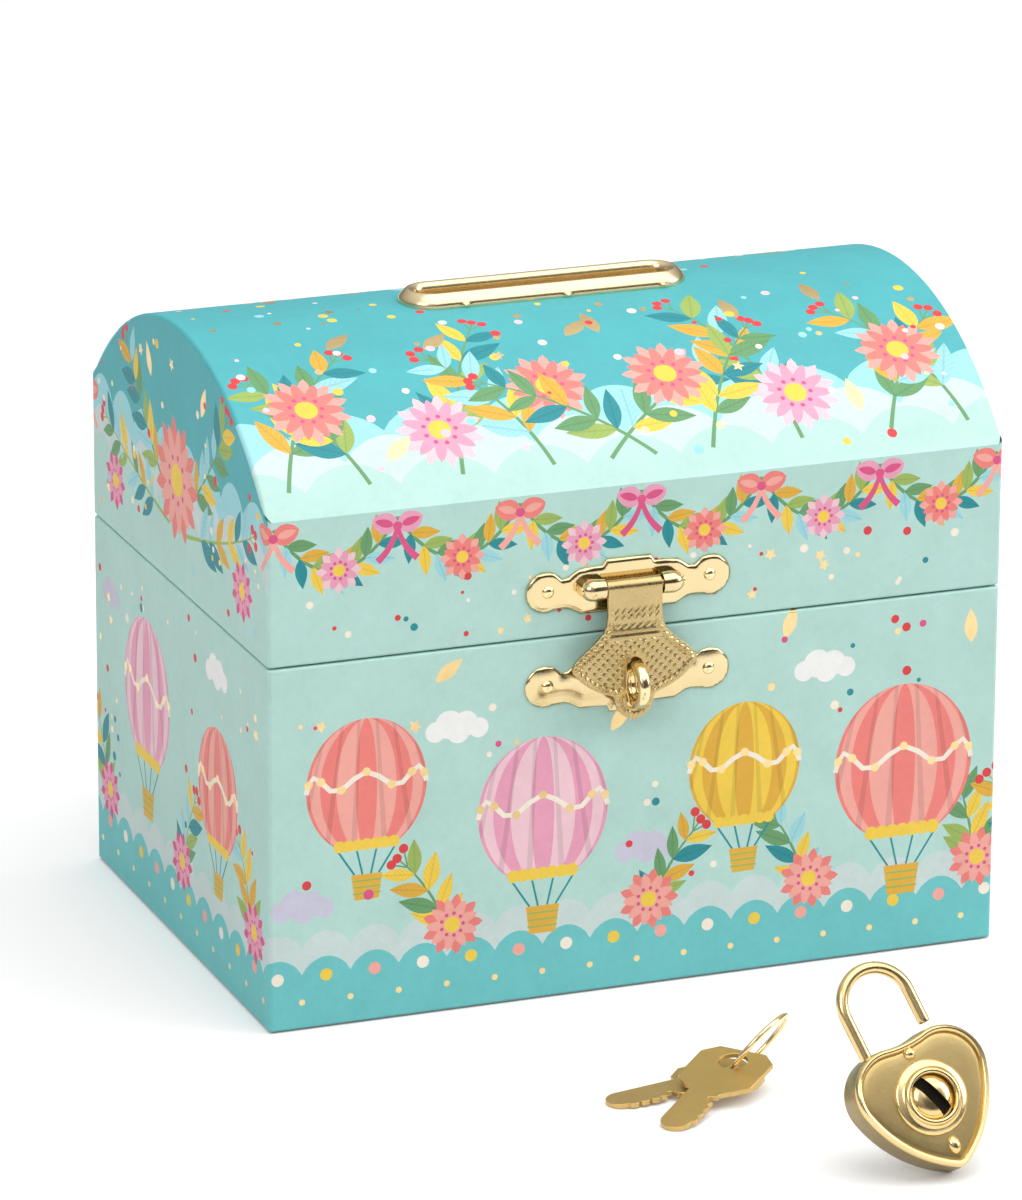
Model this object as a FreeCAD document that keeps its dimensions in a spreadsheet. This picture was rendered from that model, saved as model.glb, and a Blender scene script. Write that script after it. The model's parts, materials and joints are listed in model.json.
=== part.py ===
import FreeCAD, Part
import math
import os
import re

# A domed money chest of paper-covered board, with hasp, heart padlock and two keys.
# Millimetres, +Z up, front towards -Y. The origin is the middle of the box's underside.

SIZES = {
    # Carcass of the chest
    "box_width": 130.0,
    "box_depth": 91.0,
    "box_height": 63.0,
    "lid_wall": 24.7,
    "dome_rise": 21.0,
    "rim_gap": 0.3,
    "board": 2.4,
    "paper": 0.3,
    "lining": 0.3,
    "base_inset": 2.0,
    "corner_round": 0.8,
    # Coin slot and its brass bezel
    "slot_length": 45.4,
    "slot_width": 5.4,
    "bead_width": 2.8,
    "bead_height": 2.2,
    "sleeve_wall": 0.4,
    "sleeve_fit": 0.1,
    "claw_length": 2.2,
    "claw_width": 4.0,
    "claw_pitch": 15.0,
    # Hasp and staple
    "hasp_x": -2.3,
    "plate_length": 36.2,
    "plate_height": 10.4,
    "plate_lobe": 3.5,
    "plate_waist": 2.0,
    "plate_sheet": 0.6,
    "hasp_pin_up": 7.9,
    "hasp_pin_out": 2.0,
    "hasp_pin_radius": 0.75,
    "hasp_ear_radius": 1.9,
    "hasp_ear_length": 4.0,
    "hasp_ear_gap": 0.3,
    "flap_neck": 4.8,
    "flap_knuckle": 1.5,
    "flap_sheet": 0.65,
    "flap_width": 22.0,
    "flap_length": 22.6,
    "flap_tongue": 3.4,
    "run_clearance": 0.05,
    "staple_above_tip": 6.3,
    "staple_plate_rise": 0.0,
    "staple_radius": 4.0,
    "staple_eye": 2.2,
    "staple_wire": 2.0,
    "staple_foot": 1.7,
    "staple_shank": 1.0,
    "slot_room": 0.45,
    "nail_head": 1.3,
    "nail_dome": 0.6,
    "nail_shank": 0.6,
    "nail_length": 2.4,
    # Rear hinges
    "hinge_spread": 36.0,
    "hinge_length": 18.0,
    "hinge_leaf": 10.0,
    "hinge_sheet": 0.5,
    "knuckle_radius": 1.4,
    "knuckle_length": 8.8,
    "knuckle_gap": 0.2,
    "hinge_pin_radius": 0.8,
    "brad_pitch": 12.0,
    # Heart padlock
    "padlock_x": 12.5,
    "padlock_y": -134.9,
    "padlock_tilt": 16.8,
    "padlock_lean": 30.6,
    "padlock_depth": 6.4,
    "padlock_wall": 0.8,
    "heart_lobe": 6.85,
    "heart_lobe_x": 4.8,
    "heart_lobe_z": 3.1,
    "heart_side": 21.0,
    "heart_tip": 1.9,
    "heart_tip_z": -10.0,
    "heart_notch_z": 9.5,
    "heart_edge_round": 0.7,
    "face_sheet": 0.8,
    "face_recess": 0.5,
    "face_fit": 0.02,
    "collar_radius": 6.1,
    "collar_height": 1.5,
    "collar_round": 0.75,
    "plug_radius": 3.6,
    "plug_front": 4.3,
    "plug_back": 1.2,
    "plug_round": 1.4,
    "plug_angle": 21.0,
    "keyway_width": 1.7,
    "keyway_length": 6.2,
    "keyway_depth": 4.5,
    "cam_reach": 1.6,
    "cam_radius": 0.5,
    "cam_length": 0.95,
    "latch_sheet": 0.8,
    "latch_room": 0.2,
    "latch_level": 6.1,
    "latch_height": 1.2,
    "shackle_wire": 1.0,
    "shackle_span": 11.7,
    "shackle_top": 23.6,
    "shackle_heel": 2.8,
    "shackle_toe": 10.9,
    "shackle_fit": 0.1,
    "shackle_notch": 0.8,
    "shackle_travel": 6.0,
    "spring_length": 6.4,
    "spring_radius": 0.85,
    "spring_bore": 0.5,
    "rivet_top": 7.6,
    "rivet_foot": -8.1,
    "rivet_head": 0.6,
    "rivet_shank": 0.4,
    # Keys and their ring
    "key_x": -2.4,
    "key_y": -93.1,
    "key_reach": 22.2,
    "key_sheet": 0.8,
    "key_gap": 1.3,
    "key_bow": 13.0,
    "key_bow_end": 3.7,
    "key_bow_start": 9.2,
    "key_blade": 5.6,
    "key_hole": 2.4,
    "key_front_angle": 40.5,
    "key_rear_angle": 2.3,
    "key_lift": 1.6,
    "ring_radius": 6.6,
    "ring_wire": 0.45,
    "ring_tilt": 55.0,
    "ring_angle": -50.0,
}

DERIVED = {
    "half_width": "box_width/2",
    "half_depth": "box_depth/2",
    "board_x": "half_width - paper",
    "board_y": "half_depth - paper",
    "room_x": "board_x - board",
    "room_y": "board_y - board",
    "floor_top": "paper + board",
    "lid_rim": "box_height + rim_gap",
    "eave": "lid_rim + lid_wall",
    "crown": "eave + dome_rise",
    "dome_radius": "(half_depth^2 + dome_rise^2)/(2*dome_rise)",
    "dome_centre": "crown - dome_radius",
    "board_arc": "dome_radius - paper",
    "room_arc": "board_arc - board",
    "lid_board_top": "dome_centre + sqrt(board_arc^2 - board_y^2)",
    "dome_toe": "sqrt(room_arc^2 - (lid_board_top - dome_centre)^2)",
    "lining_arc": "room_arc - lining",
    "lining_toe": "sqrt(lining_arc^2 - (lid_board_top - lining - dome_centre)^2)",
    "sleeve_half": "slot_width/2 + sleeve_wall",
    "claw_top": "dome_centre + sqrt(lining_arc^2 - (sleeve_half + claw_length)^2)",
    "hasp_out": "half_depth + hasp_pin_out",
    "hasp_z": "lid_rim + hasp_pin_up",
    "ear_start": "flap_neck + hasp_ear_gap",
    "ear_end": "ear_start + hasp_ear_length",
    "plate_lobe_x": "plate_length/2 - plate_lobe",
    "staple_z": "hasp_z - flap_length + staple_above_tip",
    "staple_plate_z": "staple_z + staple_plate_rise",
    "plate_front": "half_depth + plate_sheet",
    "staple_out": "plate_front + staple_radius",
    "hinge_y": "half_depth + knuckle_radius",
    "hinge_z": "box_height + rim_gap/2",
    "leaf_gap": "knuckle_radius + hinge_sheet/2",
    "padlock_tip_drop": "heart_tip - heart_edge_round - heart_tip_z*cos(padlock_tilt*1deg)",
    "padlock_heel": "padlock_front - heart_edge_round",
    "padlock_z": (
        "heart_edge_round + padlock_tip_drop*cos(padlock_lean*1deg)"
        " + padlock_heel*sin(padlock_lean*1deg)"
    ),
    "padlock_front": "padlock_depth/2",
    "face_front": "padlock_front - face_recess",
    "latch_front": "plug_back + latch_room",
    "latch_back": "latch_front + latch_sheet",
    "cam_side": "cam_reach*sin(45deg)",
    "shackle_half": "shackle_span/2",
    "shackle_arc_z": "shackle_top - shackle_half - shackle_wire",
}

V = FreeCAD.Vector
doc = FreeCAD.newDocument("DomedMoneyChest")
sheet = doc.addObject("Spreadsheet::Sheet", "Sizes")
for row, (alias, number) in enumerate(SIZES.items(), start=1):
    sheet.set(f"A{row}", alias.replace("_", " "))
    sheet.set(f"B{row}", str(number))
    sheet.setAlias(f"B{row}", alias)
doc.recompute()


def cells(text):
    """Write each size's name in an expression as the cell or derived value that holds it."""

    def holder(match):
        name = match.group(0)
        if name in SIZES:
            return "Sizes." + name
        if name in DERIVED:
            return "Derived." + name
        return name

    return re.sub(r"[a-z][a-z0-9_]*", holder, text)


derived = doc.addObject("App::FeaturePython", "Derived")
for name in DERIVED:
    derived.addProperty("App::PropertyFloat", name)
for name, text in DERIVED.items():
    derived.setExpression(name, cells(text))
doc.recompute()


def value(name):
    """The number behind a driving or derived size."""
    if name in SIZES:
        return float(sheet.get(name))
    return getattr(derived, name)


def bind(thing, expressions):
    """Tie properties of a document object to the sheet."""
    for path, text in expressions.items():
        thing.setExpression(path, cells(text))


sub_parts = []


def named(thing, label):
    """Make a document object one of the chest's pieces."""
    thing.Label = label
    sub_parts.append(thing)
    return thing


def block(name, x, y, z):
    """A rectangular block between pairs of low and high expressions."""
    box = doc.addObject("Part::Box", name)
    for length, base, (low, high) in zip(("Length", "Width", "Height"), "xyz", (x, y, z)):
        bind(box, {length: f"({high}) - ({low})", f"Placement.Base.{base}": low})
    return box


TURNS = {
    "x": FreeCAD.Rotation(V(0, 1, 0), 90),
    "y": FreeCAD.Rotation(V(1, 0, 0), -90),
    "z": FreeCAD.Rotation(),
}


def rod(name, axis, radius, start, length, at):
    """A round rod along an axis, from start, with its other two coordinates in at."""
    cylinder = doc.addObject("Part::Cylinder", name)
    cylinder.Placement = FreeCAD.Placement(V(), TURNS[axis])
    bind(cylinder, {"Radius": radius, "Height": length})
    places = {axis: start, **at}
    bind(cylinder, {f"Placement.Base.{key}": text for key, text in places.items()})
    return cylinder


def fuse(name, things):
    union = doc.addObject("Part::MultiFuse", name)
    union.Shapes = things
    return union


def cut(name, base, tool):
    rest = doc.addObject("Part::Cut", name)
    rest.Base = base
    rest.Tool = tool
    return rest


def group(name, things):
    compound = doc.addObject("Part::Compound", name)
    compound.Links = things
    return compound


def path(start, *steps):
    """A closed outline: each step is a point to go straight to, or a mid and an end point of an arc."""
    here = V(*start)
    first = here
    edges = []
    for step in steps:
        if isinstance(step[0], tuple):
            middle, end = V(*step[0]), V(*step[1])
            edges.append(Part.Arc(here, middle, end))
        else:
            end = V(*step)
            edges.append(Part.LineSegment(here, end))
        here = end
    if here.distanceToPoint(first) > 1e-6:
        edges.append(Part.LineSegment(here, first))
    return edges


def circle(x, y, radius):
    return [Part.Circle(V(x, y, 0), V(0, 0, 1), radius)]


def rectangle(x0, x1, y0, y1):
    return path((x0, y0), (x1, y0), (x1, y1), (x0, y1))


def obround(half_length, half_width):
    """A slot's outline, with half-round ends."""
    flat = half_length - half_width
    return path(
        (-flat, -half_width),
        (flat, -half_width),
        ((half_length, 0), (flat, half_width)),
        (-flat, half_width),
        ((-half_length, 0), (-flat, -half_width)),
    )


def rounded_rectangle(half_x, half_y, radius):
    """A rectangle about the origin with quarter-round corners."""
    x, y = half_x - radius, half_y - radius
    bend = radius * math.sqrt(0.5)
    return path(
        (-x, -half_y),
        (x, -half_y),
        ((x + bend, -y - bend), (half_x, -y)),
        (half_x, y),
        ((x + bend, y + bend), (x, half_y)),
        (-x, half_y),
        ((-x - bend, y + bend), (-half_x, y)),
        (-half_x, -y),
        ((-x - bend, -y - bend), (-x, -half_y)),
    )


def new_body(name):
    return doc.addObject("PartDesign::Body", name)


def draw(body, plane, offset, outlines):
    """A sketch on one of the body's own planes, moved along the plane's normal."""
    support = next(f for f in body.Origin.OriginFeatures if f.Role == plane + "_Plane")
    sketch = body.newObject("Sketcher::SketchObject", body.Name + "_sketch")
    sketch.AttachmentSupport = [(support, "")]
    sketch.MapMode = "FlatFace"
    bind(sketch, {"AttachmentOffset.Base.z": offset})
    for outline in outlines:
        sketch.addGeometry(outline, False)
    return sketch


def pad(body, plane, offset, length, *outlines, back=False):
    """Add outlines to the body, along the plane's normal or against it."""
    feature = body.newObject("PartDesign::Pad", body.Name + "_pad")
    feature.Profile = draw(body, plane, offset, outlines)
    feature.Reversed = back
    bind(feature, {"Length": length})
    doc.recompute()
    return feature


def pocket(body, plane, offset, depth, *outlines):
    """Cut outlines out of the body along the plane's normal, and see that something came away."""
    before = body.Shape.Volume
    feature = body.newObject("PartDesign::Pocket", body.Name + "_pocket")
    feature.Profile = draw(body, plane, offset, outlines)
    feature.Reversed = True
    bind(feature, {"Length": depth})
    doc.recompute()
    if body.Shape.Volume > before - 1e-6:
        raise RuntimeError(f"the cut in {body.Name} removes nothing")
    return feature


def round_edges(body, radius, wanted):
    """Round each edge of the body that wanted accepts."""
    base = body.Tip
    names = [f"Edge{i}" for i, edge in enumerate(base.Shape.Edges, start=1) if wanted(edge)]
    feature = body.newObject("PartDesign::Fillet", body.Name + "_round")
    feature.Base = (base, names)
    bind(feature, {"Radius": radius})
    doc.recompute()
    return feature


def lies_at(edge, axis, place):
    """Whether the whole edge lies in the plane across an axis at a place."""
    box = edge.BoundBox
    low, high = getattr(box, axis + "Min"), getattr(box, axis + "Max")
    return abs(low - place) < 1e-4 and abs(high - place) < 1e-4


# Box carcass: boards glued edge to edge on a base board
named(
    block(
        "BasePaper",
        ("base_inset - half_width", "half_width - base_inset"),
        ("base_inset - half_depth", "half_depth - base_inset"),
        ("0", "paper"),
    ),
    "base_paper",
)
BOX_WALL = ("paper", "box_height - paper")
named(
    block("BaseBoard", ("-room_x", "room_x"), ("-room_y", "room_y"), ("paper", "floor_top")),
    "base_board",
)
for label, across in (("front_board", ("-board_y", "-room_y")), ("back_board", ("room_y", "board_y"))):
    named(block(label.title().replace("_", ""), ("-board_x", "board_x"), across, BOX_WALL), label)
for label, across in (
    ("left_end_board", ("-board_x", "-room_x")),
    ("right_end_board", ("room_x", "board_x")),
):
    named(block(label.title().replace("_", ""), across, ("-room_y", "room_y"), BOX_WALL), label)

# Printed paper round the box walls, turned over the rim
box_wrap = named(new_body("BoxWrap"), "box_wrap")
pad(
    box_wrap,
    "XY",
    "paper",
    "box_height - paper",
    rounded_rectangle(value("half_width"), value("half_depth"), value("corner_round")),
)
board_x, board_y = value("board_x"), value("board_y")
room_x, room_y = value("room_x"), value("room_y")
pocket(box_wrap, "XY", "paper", "box_height - 2*paper", rectangle(-board_x, board_x, -board_y, board_y))
pocket(box_wrap, "XY", "paper", "box_height", rectangle(-room_x, room_x, -room_y, room_y))

# Lining paper inside the box
named(
    cut(
        "BoxLining",
        block("BoxLiningOuter", ("-room_x", "room_x"), ("-room_y", "room_y"), ("floor_top", "box_height")),
        block(
            "BoxLiningInner",
            ("lining - room_x", "room_x - lining"),
            ("lining - room_y", "room_y - lining"),
            ("floor_top + lining", "lid_rim"),
        ),
    ),
    "box_lining",
)

# Lid carcass: two walls, two gables and a bent board for the dome
LID_WALL = ("lid_rim + paper", "lid_board_top")
for label, across in (
    ("lid_front_board", ("-board_y", "-room_y")),
    ("lid_back_board", ("room_y", "board_y")),
):
    named(block(label.title().replace("_", ""), ("-board_x", "board_x"), across, LID_WALL), label)


def lid_outline(bottom, side, wall_top, toe, arc):
    """Upright walls at +-side, a short ledge in to +-toe, and the dome's arc above."""
    top = value("dome_centre") + arc
    steps = [(-side, wall_top)]
    if toe < side:
        steps.append((-toe, wall_top))
    steps.append(((0, top), (toe, wall_top)))
    if toe < side:
        steps.append((side, wall_top))
    steps.append((side, bottom))
    return path((-side, bottom), *steps)


lid_rim, eave = value("lid_rim"), value("eave")
wall_top, dome_toe = value("lid_board_top"), value("dome_toe")
gable = lid_outline(lid_rim + value("paper"), room_y, wall_top, dome_toe, value("room_arc"))
for label, start in (("lid_left_gable", "-board_x"), ("lid_right_gable", "room_x")):
    end_board = named(new_body(label.title().replace("_", "")), label)
    pad(end_board, "YZ", start, "board", gable)

sleeve_hole = obround(
    value("slot_length") / 2 + value("sleeve_wall") + value("sleeve_fit"),
    value("sleeve_half") + value("sleeve_fit"),
)
SLOT_CUT = ("XY", "eave", "2*dome_rise")

dome_board = named(new_body("LidDomeBoard"), "lid_dome_board")
pad(
    dome_board,
    "YZ",
    "-board_x",
    "2*board_x",
    path(
        (-board_y, wall_top),
        ((0, value("dome_centre") + value("board_arc")), (board_y, wall_top)),
        (dome_toe, wall_top),
        ((0, value("dome_centre") + value("room_arc")), (-dome_toe, wall_top)),
    ),
)
pocket(dome_board, *SLOT_CUT, sleeve_hole)

# Printed paper over the whole lid, turned over its rim
lid_wrap = named(new_body("LidWrap"), "lid_wrap")
pad(
    lid_wrap,
    "XY",
    "lid_rim",
    "lid_wall + 1.5*dome_rise",
    rounded_rectangle(value("half_width"), value("half_depth"), value("corner_round")),
)
half_depth, crown = value("half_depth"), value("crown")
spare, spare_top = half_depth * 1.1, crown + value("dome_rise")
pocket(
    lid_wrap,
    "YZ",
    "-box_width",
    "2*box_width",
    path(
        (-half_depth, eave),
        ((0, crown), (half_depth, eave)),
        (spare, eave),
        (spare, spare_top),
        (-spare, spare_top),
        (-spare, eave),
    ),
)
pocket(
    lid_wrap,
    "YZ",
    "-board_x",
    "2*board_x",
    lid_outline(lid_rim + value("paper"), board_y, wall_top, board_y, value("board_arc")),
)
pocket(lid_wrap, "XY", "lid_rim", "2*paper", rectangle(-room_x, room_x, -room_y, room_y))
pocket(lid_wrap, *SLOT_CUT, sleeve_hole)

# Lining paper inside the lid
lid_lining = named(new_body("LidLining"), "lid_lining")
pad(
    lid_lining,
    "YZ",
    "-room_x",
    "2*room_x",
    lid_outline(lid_rim, room_y, wall_top, dome_toe, value("room_arc")),
)
pocket(
    lid_lining,
    "YZ",
    "lining - room_x",
    "2*(room_x - lining)",
    lid_outline(
        value("box_height"),
        room_y - value("lining"),
        wall_top - value("lining"),
        value("lining_toe"),
        value("lining_arc"),
    ),
)
pocket(lid_lining, *SLOT_CUT, sleeve_hole)

# Coin slot bezel: a round bead on the crown, a sleeve through the lid and claws bent out beneath
bezel = named(new_body("CoinSlotBezel"), "coin_slot_bezel")
slot_half_length, slot_half_width = value("slot_length") / 2, value("slot_width") / 2
bead = value("bead_width")
slot_outline = obround(slot_half_length, slot_half_width)
bead_outline = obround(slot_half_length + bead, slot_half_width + bead)
pad(bezel, "XY", "crown", "bead_height", bead_outline, slot_outline)
bead_top = crown + value("bead_height")
round_edges(bezel, "0.48*bead_width", lambda edge: lies_at(edge, "Z", bead_top))
pad(
    bezel,
    "XY",
    "claw_top - sleeve_wall",
    "crown - claw_top + sleeve_wall",
    obround(slot_half_length + value("sleeve_wall"), value("sleeve_half")),
    slot_outline,
)
claws = []
claw_root = slot_half_width + value("sleeve_wall") / 2
claw_tip = value("sleeve_half") + value("claw_length")
for step in (-1, 0, 1):
    left = step * value("claw_pitch") - value("claw_width") / 2
    right = left + value("claw_width")
    claws.append(rectangle(left, right, claw_root, claw_tip))
    claws.append(rectangle(left, right, -claw_tip, -claw_root))
pad(bezel, "XY", "claw_top - sleeve_wall", "sleeve_wall", *claws)


def plate_outline(level):
    """A hasp plate: straight in the middle, drawn in to a waist, with a round lobe at each end."""
    high = value("plate_height") / 2
    lobe, lobe_x = value("plate_lobe"), value("plate_lobe_x")
    waist = value("plate_waist")
    waist_x = lobe_x - math.sqrt(lobe**2 - waist**2)
    shoulder_x = waist_x - 0.8 * (high - waist)
    bend_x = shoulder_x + 0.25 * (waist_x - shoulder_x)
    bend = waist + 0.25 * (high - waist)
    return path(
        (-shoulder_x, level + high),
        (shoulder_x, level + high),
        ((bend_x, level + bend), (waist_x, level + waist)),
        ((lobe_x + lobe, level), (waist_x, level - waist)),
        ((bend_x, level - bend), (shoulder_x, level - high)),
        (-shoulder_x, level - high),
        ((-bend_x, level - bend), (-waist_x, level - waist)),
        ((-lobe_x - lobe, level), (-waist_x, level + waist)),
        ((-bend_x, level + bend), (-shoulder_x, level + high)),
    )


def nail_holes(level):
    return [circle(side * value("plate_lobe_x"), level, value("nail_shank")) for side in (-1, 1)]


def nail(name, way, face, x, z):
    """A domed nail driven in from a face: way is -1 on the front and +1 on the back."""
    head = doc.addObject("Part::Cone", name + "Head")
    head.Placement = FreeCAD.Placement(V(), FreeCAD.Rotation(V(1, 0, 0), -90 * way))
    bind(head, {"Radius1": "nail_head", "Radius2": "0.55*nail_head", "Height": "nail_dome"})
    bind(head, {"Placement.Base.x": x, "Placement.Base.y": face, "Placement.Base.z": z})
    start = face if way < 0 else f"({face}) - nail_length"
    shank = rod(name + "Shank", "y", "nail_shank", start, "nail_length", {"x": x, "z": z})
    return fuse(name, [head, shank])


# Hasp plate on the lid, with a window for the flap's knuckle and two ears that hold the pin
hasp_z = value("hasp_z")
hasp_sheet = new_body("HaspSheet")
window_high = value("flap_knuckle") + value("hasp_ear_gap") + 0.4
pad(
    hasp_sheet,
    "XZ",
    "half_depth",
    "plate_sheet",
    plate_outline(hasp_z),
    rectangle(-value("ear_start"), value("ear_start"), hasp_z - window_high, hasp_z + window_high),
    *nail_holes(hasp_z),
)
ears = [hasp_sheet]
for name, start in (("HaspEarRight", "ear_start"), ("HaspEarLeft", "-ear_end")):
    ears.append(
        rod(name, "x", "hasp_ear_radius", start, "hasp_ear_length", {"y": "-hasp_out", "z": "hasp_z"})
    )
    ears.append(
        block(
            name + "Root",
            (start, f"{start} + hasp_ear_length"),
            ("-hasp_out", "-half_depth - plate_sheet/2"),
            ("hasp_z - hasp_ear_radius", "hasp_z + hasp_ear_radius"),
        )
    )
PIN_LINE = {"y": "-hasp_out", "z": "hasp_z"}
pin_bore = rod("HaspPinBore", "x", "hasp_pin_radius", "-2*ear_end", "4*ear_end", PIN_LINE)
hasp_plate = named(cut("HaspPlate", fuse("HaspPlateWhole", ears), pin_bore), "hasp_plate")
named(rod("HaspPin", "x", "hasp_pin_radius", "hasp_x - ear_end", "2*ear_end", PIN_LINE), "hasp_pin")
hasp_nails = named(
    group(
        "HaspPlateNails",
        [
            nail("HaspNailLeft", -1, "-plate_front", "-plate_lobe_x", "hasp_z"),
            nail("HaspNailRight", -1, "-plate_front", "plate_lobe_x", "hasp_z"),
        ],
    ),
    "hasp_plate_nails",
)

# Hasp flap: a knuckle on the pin, a neck, a shield-shaped sheet and a tongue slotted for the staple
flap_half, neck, tongue = value("flap_width") / 2, value("flap_neck"), value("flap_tongue")
flap_end = hasp_z - value("flap_length")
tongue_z = flap_end + tongue
shoulder_z = hasp_z - 0.26 * value("flap_length")
wide_z = hasp_z - 0.58 * value("flap_length")
foot_z = hasp_z - 0.79 * value("flap_length")
hip_z = (shoulder_z + wide_z) / 2
hip = 0.5 * (neck + flap_half) - 0.6
staple_z = value("staple_z")
slot_half = value("staple_wire") / 2 + value("slot_room")
slot_reach = value("staple_radius") + value("slot_room")
flap_sheet = new_body("FlapSheet")
pad(
    flap_sheet,
    "XZ",
    "hasp_out + flap_knuckle - flap_sheet",
    "flap_sheet",
    path(
        (-neck, hasp_z),
        (-neck, shoulder_z),
        ((-hip, hip_z), (-flap_half, wide_z)),
        ((-flap_half + 0.6, wide_z - 2.4), (-tongue - 3.6, foot_z)),
        ((-tongue - 1.0, foot_z - 0.2), (-tongue, tongue_z)),
        ((0, flap_end), (tongue, tongue_z)),
        ((tongue + 1.0, foot_z - 0.2), (tongue + 3.6, foot_z)),
        ((flap_half - 0.6, wide_z - 2.4), (flap_half, wide_z)),
        ((hip, hip_z), (neck, shoulder_z)),
        (neck, hasp_z),
    ),
    rectangle(-slot_half, slot_half, staple_z - slot_reach, staple_z + slot_reach),
)
flap_whole = fuse(
    "FlapWhole",
    [flap_sheet, rod("FlapKnuckle", "x", "flap_knuckle", "-flap_neck", "2*flap_neck", PIN_LINE)],
)
flap_bore = rod(
    "FlapBore", "x", "hasp_pin_radius + run_clearance", "-2*flap_neck", "4*flap_neck", PIN_LINE
)
hasp_flap = named(cut("HaspFlap", flap_whole, flap_bore), "hasp_flap")

# Staple plate on the box, and the ring staple riveted through it
plate_level = value("staple_plate_z")
staple_plate = named(new_body("StaplePlate"), "staple_plate")
pad(
    staple_plate,
    "XZ",
    "half_depth",
    "plate_sheet",
    plate_outline(plate_level),
    circle(0, staple_z, value("staple_shank")),
    *nail_holes(plate_level),
)
STAPLE_LINE = {"y": "-staple_out", "z": "staple_z"}
staple_body = fuse(
    "StapleWhole",
    [
        rod("StapleRing", "x", "staple_radius", "-staple_wire/2", "staple_wire", STAPLE_LINE),
        rod(
            "StapleFoot",
            "y",
            "staple_foot",
            "-plate_front - staple_radius/4",
            "staple_radius/4",
            {"x": "0", "z": "staple_z"},
        ),
        rod(
            "StapleShank",
            "y",
            "staple_shank",
            "-plate_front - staple_radius/4",
            "plate_sheet + staple_radius/4",
            {"x": "0", "z": "staple_z"},
        ),
    ],
)
eye = rod("StapleEye", "x", "staple_eye", "-staple_radius", "2*staple_radius", STAPLE_LINE)
staple = named(cut("Staple", staple_body, eye), "staple")
staple_nails = named(
    group(
        "StaplePlateNails",
        [
            nail("StapleNailLeft", -1, "-plate_front", "-plate_lobe_x", "staple_plate_z"),
            nail("StapleNailRight", -1, "-plate_front", "plate_lobe_x", "staple_plate_z"),
        ],
    ),
    "staple_plate_nails",
)

# The hasp and the staple are nailed on a little to the left of the middle
for piece in (hasp_plate, hasp_nails, hasp_flap, staple_plate, staple, staple_nails):
    piece.Placement = FreeCAD.Placement(V(value("hasp_x"), 0, 0), FreeCAD.Rotation())

# Two butt hinges on the back: a leaf on the box with two knuckles, a leaf on the lid with one
LEAF = ("half_depth", "half_depth + hinge_sheet")
HINGE_LINE = {"y": "hinge_y", "z": "hinge_z"}
OUTER_KNUCKLE = "(hinge_length - knuckle_length)/2 - knuckle_gap"
BOX_BRAD, LID_BRAD = "hinge_z - 0.6*hinge_leaf", "hinge_z + 0.6*hinge_leaf"
box_brads, lid_brads = [], []
for side, middle in (("left", "-hinge_spread"), ("right", "hinge_spread")):
    tag = "Hinge" + side.title()
    low_end, high_end = f"{middle} - hinge_length/2", f"{middle} + hinge_length/2"
    box_leaf = [
        block(tag + "BoxSheet", (low_end, high_end), LEAF, ("hinge_z - hinge_leaf", "hinge_z - leaf_gap"))
    ]
    for end, start in (("A", low_end), ("B", f"{high_end} - ({OUTER_KNUCKLE})")):
        knuckle = rod(tag + "BoxKnuckle" + end, "x", "knuckle_radius", start, OUTER_KNUCKLE, HINGE_LINE)
        box_leaf.append(knuckle)
        box_leaf.append(
            block(
                tag + "BoxTab" + end,
                (start, f"{start} + {OUTER_KNUCKLE}"),
                LEAF,
                ("hinge_z - leaf_gap", "hinge_z"),
            )
        )
    box_holes = [rod(tag + "BoxBore", "x", "hinge_pin_radius", low_end, "hinge_length", HINGE_LINE)]
    lid_holes = [
        rod(tag + "LidBore", "x", "hinge_pin_radius + run_clearance", low_end, "hinge_length", HINGE_LINE)
    ]
    for end, x in (("A", f"{middle} - brad_pitch/2"), ("B", f"{middle} + brad_pitch/2")):
        face = "half_depth + hinge_sheet"
        box_brads.append(nail(tag + "BoxBrad" + end, 1, face, x, BOX_BRAD))
        lid_brads.append(nail(tag + "LidBrad" + end, 1, face, x, LID_BRAD))
        hole = ("y", "nail_shank", "half_depth", "hinge_sheet")
        box_holes.append(rod(tag + "BoxHole" + end, *hole, {"x": x, "z": BOX_BRAD}))
        lid_holes.append(rod(tag + "LidHole" + end, *hole, {"x": x, "z": LID_BRAD}))
    box_tool = fuse(tag + "BoxHoles", box_holes)
    named(cut(tag + "BoxLeaf", fuse(tag + "BoxWhole", box_leaf), box_tool), f"hinge_box_leaf_{side}")
    start = f"{middle} - knuckle_length/2"
    lid_leaf = [
        block(tag + "LidSheet", (low_end, high_end), LEAF, ("hinge_z + leaf_gap", "hinge_z + hinge_leaf")),
        block(tag + "LidTab", (start, f"{start} + knuckle_length"), LEAF, ("hinge_z", "hinge_z + leaf_gap")),
        rod(tag + "LidKnuckle", "x", "knuckle_radius", start, "knuckle_length", HINGE_LINE),
    ]
    lid_tool = fuse(tag + "LidHoles", lid_holes)
    named(cut(tag + "LidLeaf", fuse(tag + "LidWhole", lid_leaf), lid_tool), f"hinge_lid_leaf_{side}")
    named(rod(tag + "Pin", "x", "hinge_pin_radius", low_end, "hinge_length", HINGE_LINE), f"hinge_pin_{side}")
named(group("HingeBoxBrads", box_brads), "hinge_box_brads")
named(group("HingeLidBrads", lid_brads), "hinge_lid_brads")

# Heart padlock, drawn upright about its plug, then tilted sideways and leaned back on its tip
padlock_pose = FreeCAD.Placement(
    V(value("padlock_x"), value("padlock_y"), value("padlock_z")),
    FreeCAD.Rotation(V(1, 0, 0), -value("padlock_lean"))
    * FreeCAD.Rotation(V(0, 1, 0), -value("padlock_tilt")),
)


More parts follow.
